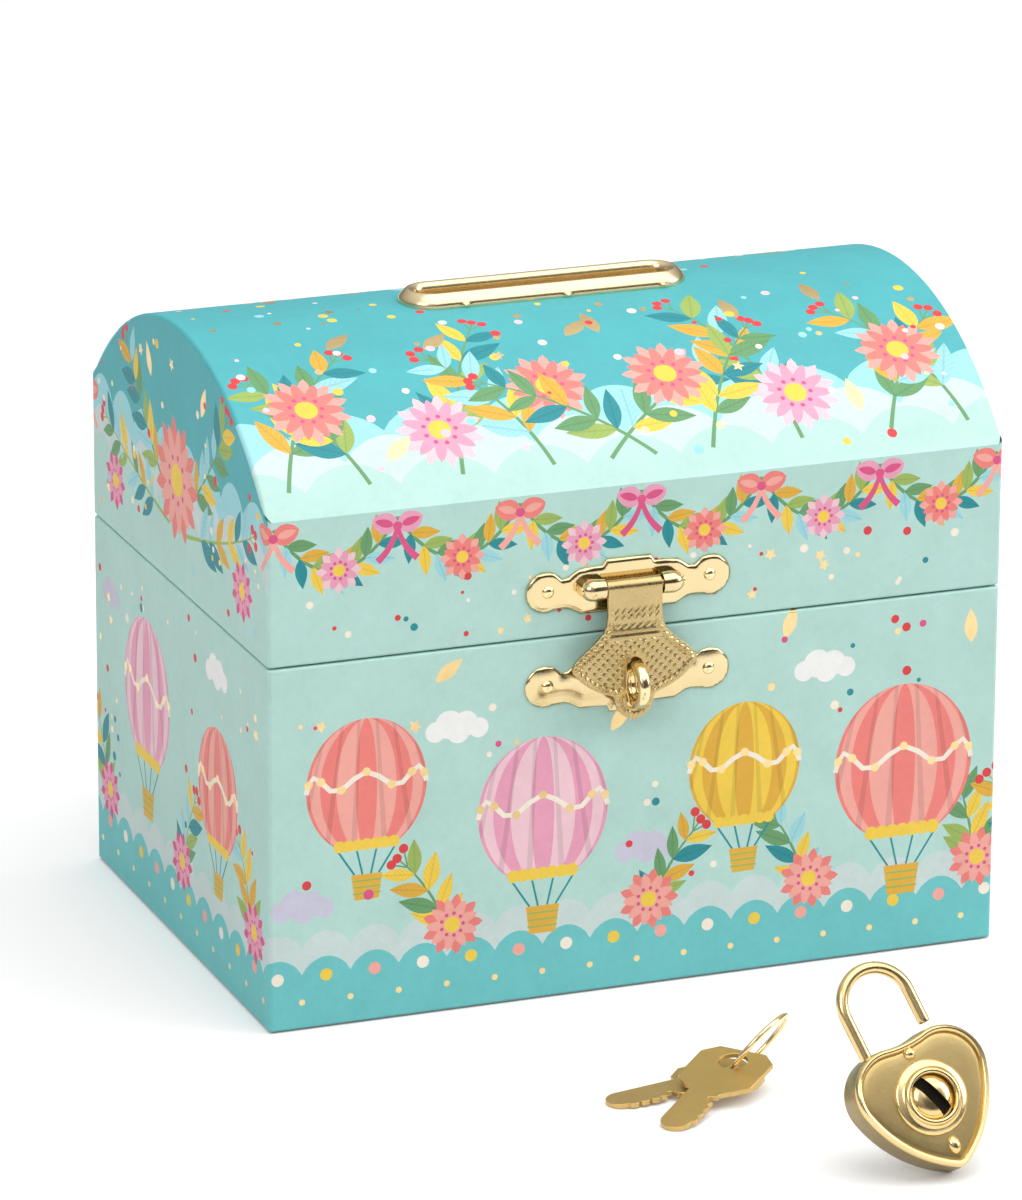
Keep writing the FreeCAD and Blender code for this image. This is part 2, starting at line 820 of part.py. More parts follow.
def heart(inset):
    """Two lobes, bulged sides to a rounded tip and a hollow between the lobes, all moved in by inset."""
    lobe, lobe_at = value("heart_lobe"), V(value("heart_lobe_x"), value("heart_lobe_z"), 0)
    tip, tip_at = value("heart_tip"), V(0, value("heart_tip_z"), 0)
    side, notch_z = value("heart_side"), value("heart_notch_z")
    hollow_z = (lobe_at.x**2 + lobe_at.y**2 - (notch_z - lobe) ** 2) / (2 * (lobe_at.y + lobe - notch_z))
    hollow = hollow_z - notch_z
    to_hollow = (V(0, hollow_z, 0) - lobe_at).normalize()
    down = tip_at - lobe_at
    span = down.Length
    down.normalize()
    along = ((side - lobe) ** 2 - (side - tip) ** 2 + span**2) / (2 * span)
    aside = math.sqrt((side - lobe) ** 2 - along**2)
    side_at = lobe_at + down * along + V(down.y, -down.x, 0) * aside
    to_hip, to_foot = (lobe_at - side_at).normalize(), (tip_at - side_at).normalize()
    to_flank = (to_hip + to_foot).normalize()
    lobe, tip, side, hollow = lobe - inset, tip - inset, side - inset, hollow + inset
    join = lobe_at + to_hollow * lobe
    crest = lobe_at + V(1, 1, 0).normalize() * lobe
    hip, flank, foot = lobe_at + to_hip * lobe, side_at + to_flank * side, tip_at + to_foot * tip

    def mirror(point):
        return (-point.x, point.y)

    return path(
        (join.x, join.y),
        ((crest.x, crest.y), (hip.x, hip.y)),
        ((flank.x, flank.y), (foot.x, foot.y)),
        ((0, tip_at.y - tip), mirror(foot)),
        (mirror(flank), mirror(hip)),
        (mirror(crest), mirror(join)),
        ((0, hollow_z - hollow), (join.x, join.y)),
    )


case_shell = new_body("PadlockShell")
pad(case_shell, "XZ", "-padlock_front", "padlock_depth", heart(0))
case_front = value("padlock_front")
round_edges(
    case_shell,
    "heart_edge_round",
    lambda edge: lies_at(edge, "Y", -case_front) or lies_at(edge, "Y", case_front),
)
pocket(case_shell, "XZ", "padlock_wall - padlock_front", "padlock_depth", heart(value("padlock_wall")))
leg_holes = [
    rod(name, "z", "shackle_wire + shackle_fit", "heart_lobe_z", "2*heart_lobe", {"x": x, "y": "0"})
    for name, x in (("HeelHole", "-shackle_half"), ("ToeHole", "shackle_half"))
]
padlock_case = named(cut("PadlockCase", case_shell, fuse("LegHoles", leg_holes)), "padlock_case")

face = named(new_body("PadlockFace"), "padlock_face")
rivet_spots = (value("rivet_top"), value("rivet_foot"))
pad(
    face,
    "XZ",
    "face_front - face_sheet",
    "face_sheet",
    heart(value("padlock_wall") + value("face_fit")),
    circle(0, 0, value("plug_radius") + value("run_clearance")),
    *[circle(0, z, value("rivet_shank")) for z in rivet_spots],
)

collar = named(new_body("PadlockCollar"), "padlock_collar")
pad(
    collar,
    "XZ",
    "face_front",
    "collar_height",
    circle(0, 0, value("collar_radius")),
    circle(0, 0, value("plug_radius") + value("run_clearance")),
)
collar_front = value("face_front") + value("collar_height")
round_edges(collar, "collar_round", lambda edge: lies_at(edge, "Y", -collar_front))

rivets = []
for name, z in (("RivetTop", "rivet_top"), ("RivetFoot", "rivet_foot")):
    head = doc.addObject("Part::Cone", name + "Head")
    head.Placement = FreeCAD.Placement(V(), FreeCAD.Rotation(V(1, 0, 0), 90))
    bind(head, {"Radius1": "rivet_head", "Radius2": "0.55*rivet_head", "Height": "rivet_head"})
    bind(head, {"Placement.Base.y": "-face_front", "Placement.Base.z": z})
    shank = rod(name + "Shank", "y", "rivet_shank", "-face_front", "face_sheet", {"x": "0", "z": z})
    rivets.append(fuse(name, [head, shank]))
padlock_rivets = named(group("PadlockRivets", rivets), "padlock_rivets")

# Plug that the key turns, with a cam pin behind that carries the latch sideways
plug = named(new_body("PadlockPlug"), "padlock_plug")
pad(plug, "XZ", "-plug_back", "plug_back + plug_front", circle(0, 0, value("plug_radius")))
plug_front = value("plug_front")
round_edges(plug, "plug_round", lambda edge: lies_at(edge, "Y", -plug_front))
turn = math.radians(value("plug_angle"))
across = V(math.cos(turn), math.sin(turn), 0) * (value("keyway_width") / 2)
along = V(-math.sin(turn), math.cos(turn), 0) * (value("keyway_length") / 2)
keyway = [tuple(c)[:2] for c in (across + along, along - across, -across - along, across - along)]
pocket(plug, "XZ", "plug_front - keyway_depth", "2*keyway_depth", path(*keyway))
cam_side = value("cam_side")
pad(plug, "XZ", "-plug_back", "cam_length", circle(-cam_side, cam_side, value("cam_radius")), back=True)

CAM_ROOM = "cam_radius + latch_room"
latch_whole = fuse(
    "LatchWhole",
    [
        block(
            "LatchTail",
            ("-2*cam_side - cam_radius", "cam_side + cam_radius"),
            ("latch_front", "latch_back"),
            ("-cam_radius", "latch_level + latch_height"),
        ),
        block(
            "LatchBolt",
            ("-cam_side", "shackle_half - shackle_wire - latch_room"),
            ("shackle_wire - shackle_notch + latch_room", "latch_back"),
            ("latch_level", "latch_level + latch_height"),
        ),
    ],
)
cam_slot = block(
    "LatchSlot",
    (f"-cam_side - ({CAM_ROOM})", f"-cam_side + {CAM_ROOM}"),
    ("plug_back", "latch_back + latch_sheet"),
    (f"cam_side - ({CAM_ROOM})", f"cam_reach + {CAM_ROOM}"),
)
padlock_latch = named(cut("PadlockLatch", latch_whole, cam_slot), "padlock_latch")

# Shackle, popped open: its heel stays in the case and its toe stands clear
shackle_bow = doc.addObject("Part::Torus", "ShackleBow")
shackle_bow.Angle3 = 180
shackle_bow.Placement = FreeCAD.Placement(V(), FreeCAD.Rotation(V(1, 0, 0), 90))
bind(shackle_bow, {"Radius1": "shackle_half", "Radius2": "shackle_wire", "Placement.Base.z": "shackle_arc_z"})
shackle_whole = fuse(
    "ShackleWhole",
    [
        shackle_bow,
        rod(
            "ShackleHeel",
            "z",
            "shackle_wire",
            "shackle_heel",
            "shackle_arc_z - shackle_heel",
            {"x": "-shackle_half", "y": "0"},
        ),
        rod(
            "ShackleToe",
            "z",
            "shackle_wire",
            "shackle_toe",
            "shackle_arc_z - shackle_toe",
            {"x": "shackle_half", "y": "0"},
        ),
    ],
)
toe_notch = block(
    "ToeNotch",
    ("shackle_half - 2*shackle_wire", "shackle_half + 2*shackle_wire"),
    ("shackle_wire - shackle_notch", "2*shackle_wire"),
    (
        "latch_level + shackle_travel - latch_room",
        "latch_level + latch_height + shackle_travel + latch_room",
    ),
)
padlock_shackle = named(cut("PadlockShackle", shackle_whole, toe_notch), "padlock_shackle")
SPRING_LINE = {"x": "-shackle_half", "y": "0"}
spring_outer = rod(
    "SpringOuter", "z", "spring_radius", "shackle_heel - spring_length", "spring_length", SPRING_LINE
)
spring_inner = rod(
    "SpringInner", "z", "spring_bore", "shackle_heel - 2*spring_length", "3*spring_length", SPRING_LINE
)
shackle_spring = named(cut("ShackleSpring", spring_outer, spring_inner), "shackle_spring")

for piece in (
    padlock_case,
    face,
    collar,
    padlock_rivets,
    plug,
    padlock_latch,
    padlock_shackle,
    shackle_spring,
):
    piece.Placement = padlock_pose


# Two flat stamped keys fanned about one ring
def key_outline():
    """The hole is at the origin, the blade runs to -X with a round tip, and the bitting is on its -Y edge."""
    half_bow, half_blade = value("key_bow") / 2, value("key_blade") / 2
    reach = value("key_reach")
    bow_end, bow_start = value("key_bow_end"), -value("key_bow_start")
    corner = 0.18 * value("key_bow")
    notch = 0.25 * value("key_blade")
    scallop = value("key_blade") / 6
    tip_x = -reach + half_blade
    steps = [
        (bow_end, half_bow - corner),
        (bow_end - corner, half_bow),
        (bow_start + corner, half_bow),
        (bow_start, half_bow - corner),
        (bow_start, half_blade),
        (tip_x, half_blade),
        ((-reach, 0), (tip_x, -half_blade + scallop / 2)),
    ]
    x = tip_x
    for _ in range(3):
        steps.append(((x + scallop, -half_blade - scallop / 6), (x + 2 * scallop, -half_blade + scallop / 2)))
        x += 2 * scallop
    steps += [
        (x + scallop, -half_blade),
        (x + 1.6 * scallop, -half_blade + notch),
        (x + 2.4 * scallop, -half_blade + notch),
        (x + 3.0 * scallop, -half_blade),
        (bow_start - corner / 2, -half_blade),
        (bow_start, -half_blade - corner / 2),
        (bow_start, -half_bow + corner),
        (bow_start + corner, -half_bow),
        (bow_end - corner, -half_bow),
        (bow_end, -half_bow + corner),
    ]
    return path(*steps)


key_lift = value("key_lift")
for label, angle, lift in (
    ("key_rear", "key_rear_angle", key_lift),
    ("key_front", "key_front_angle", key_lift + value("key_sheet") + value("key_gap")),
):
    key = named(new_body(label.title().replace("_", "")), label)
    pad(key, "XY", "0", "key_sheet", key_outline(), circle(0, 0, value("key_hole")))
    rise = math.degrees(math.asin(lift / value("key_reach")))
    turn_to = FreeCAD.Rotation(V(0, 0, 1), value(angle)) * FreeCAD.Rotation(V(0, 1, 0), -rise)
    key.Placement = FreeCAD.Placement(V(value("key_x"), value("key_y"), lift), turn_to)

# The ring leans up out of the key holes, with its low side on the floor under the bows
ring = named(doc.addObject("Part::Torus", "KeyRing"), "key_ring")
bind(ring, {"Radius1": "ring_radius", "Radius2": "ring_wire"})
heading, slope = math.radians(value("ring_angle")), math.radians(value("ring_tilt"))
uphill = V(math.cos(heading) * math.cos(slope), math.sin(heading) * math.cos(slope), math.sin(slope))
level = V(math.sin(heading), -math.cos(heading), 0)
stack_foot = key_lift - value("ring_wire")
stack_head = key_lift + 2 * value("key_sheet") + value("key_gap") + value("ring_wire")
climb = value("ring_radius") * math.sin(slope)
sines = [(height - value("ring_wire")) / climb - 1 for height in (stack_foot, stack_head)]
cosines = [math.sqrt(1 - sine**2) for sine in sines]
hole_spot = level * (sum(cosines) / 2) + uphill * (sum(sines) / 2)
hole_spot = hole_spot * value("ring_radius")
centre = V(value("key_x"), value("key_y"), 0) - V(hole_spot.x, hole_spot.y, 0)
centre.z = value("ring_wire") + climb
ring.Placement = FreeCAD.Placement(centre, FreeCAD.Rotation(level, uphill, level.cross(uphill), "XYZ"))

doc.recompute()
for thing in doc.Objects:
    if {"Invalid", "Error"} & set(thing.State):
        raise RuntimeError(f"{thing.Name} did not build: {thing.State}")
for piece in sub_parts:
    if piece.Shape.isNull() or not piece.Shape.isValid() or not piece.Shape.Solids:
        raise RuntimeError(f"{piece.Label} has no sound solid")

os.makedirs("parts", exist_ok=True)
for piece in sub_parts:
    piece.Shape.exportStep(f"parts/{piece.Label}.step")
print(len(sub_parts), "pieces written")
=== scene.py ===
import json
import math
from functools import partialmethod

import bmesh
import bpy
import numpy as np
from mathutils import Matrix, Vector
from mathutils.geometry import delaunay_2d_cdt


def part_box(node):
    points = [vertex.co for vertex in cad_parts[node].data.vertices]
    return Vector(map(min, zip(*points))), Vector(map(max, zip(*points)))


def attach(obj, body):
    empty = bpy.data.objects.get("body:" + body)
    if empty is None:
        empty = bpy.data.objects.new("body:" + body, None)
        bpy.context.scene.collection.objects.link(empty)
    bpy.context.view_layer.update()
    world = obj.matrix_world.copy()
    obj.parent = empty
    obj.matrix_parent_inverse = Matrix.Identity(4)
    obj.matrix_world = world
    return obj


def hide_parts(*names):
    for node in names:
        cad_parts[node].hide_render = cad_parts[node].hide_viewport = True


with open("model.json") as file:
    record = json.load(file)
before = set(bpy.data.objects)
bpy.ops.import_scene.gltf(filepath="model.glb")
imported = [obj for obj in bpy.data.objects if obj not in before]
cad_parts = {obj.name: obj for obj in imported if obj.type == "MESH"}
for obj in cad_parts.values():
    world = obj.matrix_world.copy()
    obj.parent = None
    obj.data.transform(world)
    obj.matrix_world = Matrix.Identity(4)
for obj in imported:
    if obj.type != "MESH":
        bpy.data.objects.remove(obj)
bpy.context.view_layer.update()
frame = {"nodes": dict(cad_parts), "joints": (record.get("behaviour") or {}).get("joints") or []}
nodes = frame["nodes"]

# A paper-covered chest is built on a carcass of grey chipboard: five boards for the box,
# four for the lid and one bent over as the dome. It shows only where paper ends.
CHIPBOARD = (0.36, 0.33, 0.28)
CHIPBOARD_FLECK = (0.47, 0.44, 0.38)


class Field:
    """A shader value: arithmetic on it adds the Math nodes that work it out."""

    def __init__(self, tree, socket):
        self.tree = tree
        self.socket = socket

    def math(self, operation, *others):
        """A Math node's operation on this value and the others."""
        node = self.tree.nodes.new("ShaderNodeMath")
        node.operation = operation
        for slot, value in zip(node.inputs, (self, *others)):
            plug_in(self.tree, slot, value)
        return Field(self.tree, node.outputs[0])

    def __rsub__(self, other):
        """What is left of a number when this value is taken from it."""
        return self.math("MULTIPLY_ADD", -1.0, other)

    __add__ = __radd__ = partialmethod(math, "ADD")
    __sub__ = partialmethod(math, "SUBTRACT")
    __mul__ = __rmul__ = partialmethod(math, "MULTIPLY")
    __lt__ = partialmethod(math, "LESS_THAN")
    __gt__ = partialmethod(math, "GREATER_THAN")
    __abs__ = partialmethod(math, "ABSOLUTE")


def plug_in(tree, slot, value):
    """Link a field to a socket, or set the socket to a plain number, colour or vector."""
    if isinstance(value, Field):
        tree.links.new(value.socket, slot)
    elif slot.type == "RGBA" and len(value) == 3:
        slot.default_value = (*value, 1.0)
    else:
        slot.default_value = value


class Finish:
    """A material whose surface is one shader, with a method that adds any other node."""

    def __init__(self, name, **constants):
        self.material = bpy.data.materials.new(name)
        self.material.use_nodes = True
        self.tree = self.material.node_tree
        self.shader = self.tree.nodes["Principled BSDF"]
        self.surface(**constants)
        self.place = self.node("TexCoord", out="Object")

    def node(self, kind, out=0, sockets=None, **settings):
        """Add a node with its settings, then its sockets' values or links, and give one output."""
        made = self.tree.nodes.new("ShaderNode" + kind)
        for key, value in settings.items():
            setattr(made, key, value)
        for key, value in (sockets or {}).items():
            plug_in(self.tree, made.inputs[key], value)
        return Field(self.tree, made.outputs[out])

    def surface(self, **values):
        """Set or link the shader's own sockets, named in small letters."""
        for key, value in values.items():
            title = key.replace("_", " ").title().replace("Ior", "IOR")
            plug_in(self.tree, self.shader.inputs[title], value)

    def noise(self, scale, detail=3.0, roughness=0.55):
        """Cloudy noise from 0 to 1, with scale in cycles a metre."""
        sockets = {"Vector": self.place, "Scale": scale, "Detail": detail, "Roughness": roughness}
        return self.node("TexNoise", sockets=sockets)

    def blend(self, factor, first, second, kind="MIX"):
        """A colour between two, by a factor."""
        mix = self.tree.nodes.new("ShaderNodeMix")
        mix.data_type = "RGBA"
        mix.blend_type = kind
        for slot, value in ((0, factor), (6, first), (7, second)):
            plug_in(self.tree, mix.inputs[slot], value)
        return Field(self.tree, mix.outputs[2])

    def bump(self, height, depth):
        """Small relief whose height field is depth metres deep."""
        self.surface(normal=self.node("Bump", sockets={"Height": height, "Distance": depth}))


def dress(finish, *names):
    """Give a finish to pieces that keep their shape."""
    for name in names:
        piece = nodes[name]
        piece.data.materials.clear()
        piece.data.materials.append(finish.material)


chipboard = Finish("grey_chipboard", roughness=0.9)
pulp = chipboard.noise(900.0, 5.0)
chipboard.surface(base_color=chipboard.blend(pulp, CHIPBOARD, CHIPBOARD_FLECK))
chipboard.bump(pulp, 0.00008)
box_boards = ("base_board", "front_board", "back_board", "left_end_board", "right_end_board")
lid_boards = ("lid_front_board", "lid_back_board", "lid_left_gable", "lid_right_gable", "lid_dome_board")
dress(chipboard, *box_boards, *lid_boards)

# Plain lining paper covers the inside of the box and of the lid, and a sheet is glued under
# the base. It is matte, pale mint, with a faint fibre.
LINING_PALE = (0.60, 0.78, 0.74)
LINING_DEEP = (0.52, 0.72, 0.68)
lining = Finish("lining_paper", roughness=0.8)
fibre = lining.noise(1400.0, 4.0)
lining.surface(base_color=lining.blend(fibre, LINING_DEEP, LINING_PALE))
lining.bump(fibre, 0.00003)
dress(lining, "box_lining", "lid_lining", "base_paper")

# The box is covered by one sheet of printed paper. It runs round the four walls, is folded
# over the rim and under the base, and is glued down. The print is matte inks and gold foil.
MM = 0.001
HALF_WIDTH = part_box("box_wrap")[1].x / MM
HALF_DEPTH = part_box("box_wrap")[1].y / MM
BOX_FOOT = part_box("box_wrap")[0].z / MM
BOX_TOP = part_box("box_wrap")[1].z / MM
CORNER, FOLD = 0.8, 0.45
TURN_OVER, TURN_UNDER = 2.6, 3.5
FOLD_RUN = FOLD * math.pi / 2
FOLD_STEPS = 5
CORNER_RUN = CORNER * math.pi / 2
CORNER_STEPS = 6
FRONT_RUN = HALF_WIDTH - CORNER
END_RUN = HALF_DEPTH - CORNER
END_MIDDLE = FRONT_RUN + CORNER_RUN + END_RUN
HALF_ROUND = 2 * (FRONT_RUN + CORNER_RUN + END_RUN)
WALL_RISE = BOX_TOP - BOX_FOOT - 2 * FOLD
SLIVER = 1e-4


def paint(red, green, blue):
    """A printed colour from its 0 to 255 values, as light."""
    level = np.array([red, green, blue]) / 255.0
    return np.where(level <= 0.04045, level / 12.92, ((level + 0.055) / 1.055) ** 2.4)


AQUA = paint(184, 222, 213)
MIST = paint(205, 222, 220)
LAGOON = paint(110, 199, 200)
TURQUOISE = paint(76, 176, 182)
DEEP_TEAL = paint(30, 141, 150)
PALE_SKY = paint(158, 219, 226)
CREAM = paint(250, 240, 222)
WHITE_INK = paint(246, 246, 243)
CORAL = paint(243, 132, 124)
SALMON = paint(248, 172, 160)
ROSE = paint(238, 163, 190)
BLUSH = paint(247, 205, 215)
MAGENTA = paint(222, 84, 134)
POPPY = paint(222, 62, 66)
LEMON = paint(246, 208, 74)
MUSTARD = paint(228, 176, 60)
OLIVE = paint(158, 184, 92)
MOSS = paint(104, 158, 104)
GOLD = np.array([0.83, 0.62, 0.30])
LILAC = paint(206, 204, 222)
PLAIN, VEINED, LINED, FOIL = 0.0, 1.0, 2.0, 3.0
LEAVES = (LEMON, OLIVE, PALE_SKY, MOSS, DEEP_TEAL, MUSTARD)
STAR_WAIST = 0.45
BALLOON_NECK, BALLOON_TALL, BALLOON_DROP = 0.55, 1.12, 1.75
BASKET = np.array([(-0.26, 0.3), (0.26, 0.3), (0.2, -0.12), (-0.2, -0.12)])
CLOUD_PUFFS = ((-1.1, 0.1, 0.5), (-0.45, 0.4, 0.68), (0.35, 0.35, 0.62), (1.0, 0.1, 0.48), (0, 0, 0.55))
VEINS, PETAL_LINES, DRAWN_INK, PAPER_TOOTH = 8.0, 11.0, 0.17, 0.00003
DAINTY = np.random.default_rng(11)


def pointing(turn):
    """The unit step along a heading: its cosine across and its sine up."""
    return np.array([math.cos(turn), math.sin(turn)])


def turned(outline, at, heading):
    """An outline turned by a heading in radians and moved to a place."""
    c, s = pointing(heading)
    return np.asarray(outline) @ np.array([[c, s], [-s, c]]) + np.asarray(at)


def curve(start, pull, end, count=14):
    """Points on a quadratic curve from start to end, drawn towards pull."""
    t = np.linspace(0, 1, count)[:, None]
    return (1 - t) ** 2 * np.array(start) + 2 * t * (1 - t) * np.array(pull) + t**2 * np.array(end)


def stroke(points, first, last):
    """A line's outline, as wide as first at its start and as last at its end."""
    along = np.gradient(points, axis=0)
    along /= np.linalg.norm(along, axis=1)[:, None]
    side = np.stack([-along[:, 1], along[:, 0]], 1) * np.linspace(first, last, len(points))[:, None] / 2
    return np.concatenate([points + side, (points - side)[::-1]])


def leaf_outline(length, width, blunt=1.0):
    """Half-width is a sine of the way along, to a power: 1 is pointed, less is blunt."""
    t = np.linspace(0, 1, 10)
    half = width / 2 * np.sin(np.pi * t**0.85) ** blunt
    upper = np.stack([length * t, half], 1)
    return np.concatenate([upper, (upper * [1, -1])[-2:0:-1]])


def disc(radius, count=18):
    """Points evenly round a circle."""
    t = np.linspace(0, 2 * np.pi, count, endpoint=False)
    return radius * np.stack([np.cos(t), np.sin(t)], 1)


def star(radius):
    """A five-pointed star: the radius goes between the tips' and the waists' by turns."""
    t = np.linspace(0, 2 * np.pi, 10, endpoint=False) + np.pi / 2
    reach = radius * np.where(np.arange(10) % 2, STAR_WAIST, 1.0)
    return reach[:, None] * np.stack([np.cos(t), np.sin(t)], 1)


def inside(points, outline):
    """Which points lie in an outline, by counting the edges crossed to their right."""
    ahead = np.roll(outline, -1, 0)
    x, y = points[:, :1], points[:, 1:]
    spans = (outline[:, 1] > y) != (ahead[:, 1] > y)
    rise = np.where(ahead[:, 1] == outline[:, 1], 1e-12, ahead[:, 1] - outline[:, 1])
    crossing = outline[:, 0] + (y - outline[:, 1]) * (ahead[:, 0] - outline[:, 0]) / rise
    return (spans & (x < crossing)).sum(1) % 2 == 1


def cut_flat(loops, fill=(), merge=1e-5):
    """Triangles between closed loops, lines of two points and loose fill points on one flat."""
    points, edges = [], []
    for loop in loops:
        first, count = len(points), len(loop)
        points.extend(map(Vector, loop))
        edges.extend((first + i, first + (i + 1) % count) for i in range(count if count > 2 else 1))
    cut = delaunay_2d_cdt([*points, *map(Vector, fill)], edges, [], 0, merge, False)
    return np.array([tuple(p) for p in cut[0]]), np.array(cut[2])


class PrintedSheet:
    """A flat sheet in millimetres. Inks lie one over another in the order they are laid."""

    def __init__(self, low, high, ground):
        self.low, self.high = np.array(low, float), np.array(high, float)
        corners = [self.low, (self.high[0], self.low[1]), self.high, (self.low[0], self.high[1])]
        self.shapes = []
        self.ink(corners, ground)

    def ink(self, outline, colour, kind=PLAIN, at=(0, 0), heading=0.0, reach=1.0):
        """Lay a shape. Veins and lines in it follow its place, heading and reach."""
        self.shapes.append((np.asarray(outline, float), colour, kind, at, heading, reach))

    def stamp(self, outline, at, colour, heading=0.0, kind=PLAIN, reach=1.0):
        """Lay a shape turned to its heading and moved to its place."""
        self.ink(turned(outline, at, heading), colour, kind, at, heading, reach)

    def line(self, points, colour, first, last=None):
        """Lay a line that keeps its first width or tapers to its last."""
        self.ink(stroke(np.array(points), first, first if last is None else last), colour)

    def leaf(self, at, heading, length, width, colour):
        """A pointed leaf, veined or of foil, that grows along its heading."""
        kind = FOIL if colour is GOLD else VEINED
        self.stamp(leaf_outline(length, width), at, colour, heading, kind, length)

    def berry(self, at, radius, colour):
        """A small round dot of ink or foil."""
        self.stamp(disc(radius, 12), at, colour, 0.0, FOIL if colour is GOLD else PLAIN)

    def sprig(self, start, heading, length, bend, stem, pairs, leaf):
        """A bent stem with a leaf on each side by turns and berries at its tip."""
        reach = pointing(heading)
        side = np.array([-reach[1], reach[0]])
        start = np.array(start, float)
        end = start + reach * length + side * bend * length
        line = curve(start, start + reach * length * 0.55, end, 18)
        self.line(line, stem, 0.75, 0.3)
        for step in range(pairs):
            spot = round((0.22 + 0.74 * step / (pairs - 1)) * 16)
            ahead = line[spot + 1] - line[spot]
            lean = math.atan2(ahead[1], ahead[0])
            for hand in (1, -1):
                shade = LEAVES[DAINTY.integers(len(LEAVES))]
                size = leaf * (1.08 - 0.13 * step / pairs) * DAINTY.uniform(0.82, 1.12)
                turn = lean + hand * DAINTY.uniform(0.6, 0.95)
                self.leaf(line[spot], turn, size, size * DAINTY.uniform(0.34, 0.42), shade)
        for hand in (-0.5, 0.1, 0.6):
            end = line[-1] + DAINTY.uniform(2.4, 3.6) * pointing(lean + hand)
            self.line(curve(line[-1], (line[-1] + end) / 2, end, 4), stem, 0.3, 0.25)
            self.berry(end, 0.85, POPPY)

    def daisy(self, at, radius, petals, colour, edge, spin=0.0):
        """A ring of lined petals round a dotted eye."""
        self.stamp(disc(radius * 0.62, 24), at, edge)
        for layer, (size, shade) in enumerate(((1.0, edge), (0.86, colour))):
            for turn in np.arange(petals) * 2 * np.pi / petals + spin + layer * np.pi / petals:
                outline = leaf_outline(radius * size, radius * size * 3.6 / petals, 0.55)
                self.ink(turned(outline, at, turn), shade, LINED, at, 0.0, radius)
        self.berry(at, radius * 0.26, LEMON)
        for turn in np.arange(9) * 2 * np.pi / 9:
            self.berry(np.array(at) + radius * 0.36 * pointing(turn), radius * 0.035 + 0.14, MAGENTA)

    def bow(self, at, size, colour, shade):
        """A ribbon bow: two lined loops, two tails and a knot."""
        start = np.array(at, float)
        for hand in (1, -1):
            heading = math.pi / 2 - hand * (math.pi / 2 - 0.28)
            pull = start + size * np.array([hand * 0.15, -0.75])
            end = start + size * np.array([hand * 0.75, -1.25])
            self.line(curve(start, pull, end), shade, size * 0.16, size * 0.26)
            loop = leaf_outline(size, size * 0.78, 0.6)
            self.ink(turned(loop, at, heading), colour, LINED, at, 0.0, size)
            inner = leaf_outline(size * 0.72, size * 0.3, 0.7)
            spot = start + size * 0.16 * pointing(heading)
            self.ink(turned(inner, spot, heading), shade, LINED, at, 0.0, size)
        self.stamp(disc(size * 0.17), at, MAGENTA)

    def scallops(self, start, end, level, pitch, colour, depth, foot):
        """A band from the foot to a row of round scallops that stand on level."""
        count = round((end - start) / pitch)
        t = np.linspace(0, count, count * 10 + 1)
        edge = level + depth * pitch * np.abs(np.sin(np.pi * t)) ** 0.7
        top = np.stack([start + (end - start) * t / count, edge], 1)
        self.ink(np.concatenate([top, [[end, foot], [start, foot]]]), colour)

    def scatter(self, low, high, count, colours, sizes, clear=()):
        """Small dots and stars strewn at random, off the round places that are kept clear."""
        for _ in range(count):
            spot = DAINTY.uniform(low, high)
            colour = colours[DAINTY.integers(len(colours))]
            size = DAINTY.uniform(*sizes)
            if any(math.dist(spot, middle) < reach for middle, reach in clear):
                continue
            if colour is GOLD and size > 0.8 * sizes[1]:
                self.stamp(star(size * 1.5), spot, GOLD, DAINTY.uniform(0, 1), FOIL)
            else:
                self.berry(spot, size, colour)

    def balloon(self, at, size, colours):
        """A striped balloon: gores between half-ellipses, a beaded skirt, ropes and a basket."""
        x, z = at
        t = np.linspace(BALLOON_NECK - np.pi / 2, np.pi / 2, 24)
        shares = np.sin(np.linspace(-1, 1, 10) * np.pi / 2)
        tall = z + size * BALLOON_TALL * np.sin(t)
        sides = [np.stack([x + size * share * np.cos(t), tall], 1) for share in shares]
        for number, (left, right) in enumerate(zip(sides[:-1], sides[1:])):
            gore = np.concatenate([left, right[::-1]])
            self.ink(gore, colours[number % 2], LINED, (x, z + size * 4.0), math.pi / 2, size)
        neck_z, neck = tall[0], size * math.cos(t[0])
        basket_z = z - size * BALLOON_DROP
        for share in (-1, -0.35, 0.35, 1):
            rope = ((x + neck * share, neck_z), (x + 0.2 * size * share, basket_z + size * 0.3))
            self.line(rope, DEEP_TEAL, 0.35)
        for share in np.linspace(-0.86, 0.86, 7):
            self.stamp(disc(size * 0.1, 12), (x + neck * share, neck_z), LEMON)
        self.ink(BASKET * size + (x, basket_z), MUSTARD)
        for step in range(1, 4):
            level = basket_z + size * (0.3 - 0.105 * step)
            self.line(((x - 0.23 * size, level), (x + 0.23 * size, level)), OLIVE, 0.3)
        t = np.linspace(-0.95, 0.95, 15)
        dip = 0.1 + 0.14 * np.cos(t * 3 * np.pi)
        swag = np.stack([x + size * np.sin(t * np.pi / 2), z + size * dip], 1)
        self.line(swag, CREAM, 0.9)
        for spot in swag[1:-1:2]:
            self.berry(spot, 0.75, GOLD)

    def cloud(self, at, size, colour):
        """A heap of round puffs on a level foot."""
        for x, z, reach in CLOUD_PUFFS:
            self.stamp(disc(size * reach, 22), (at[0] + x * size, at[1] + z * size), colour)

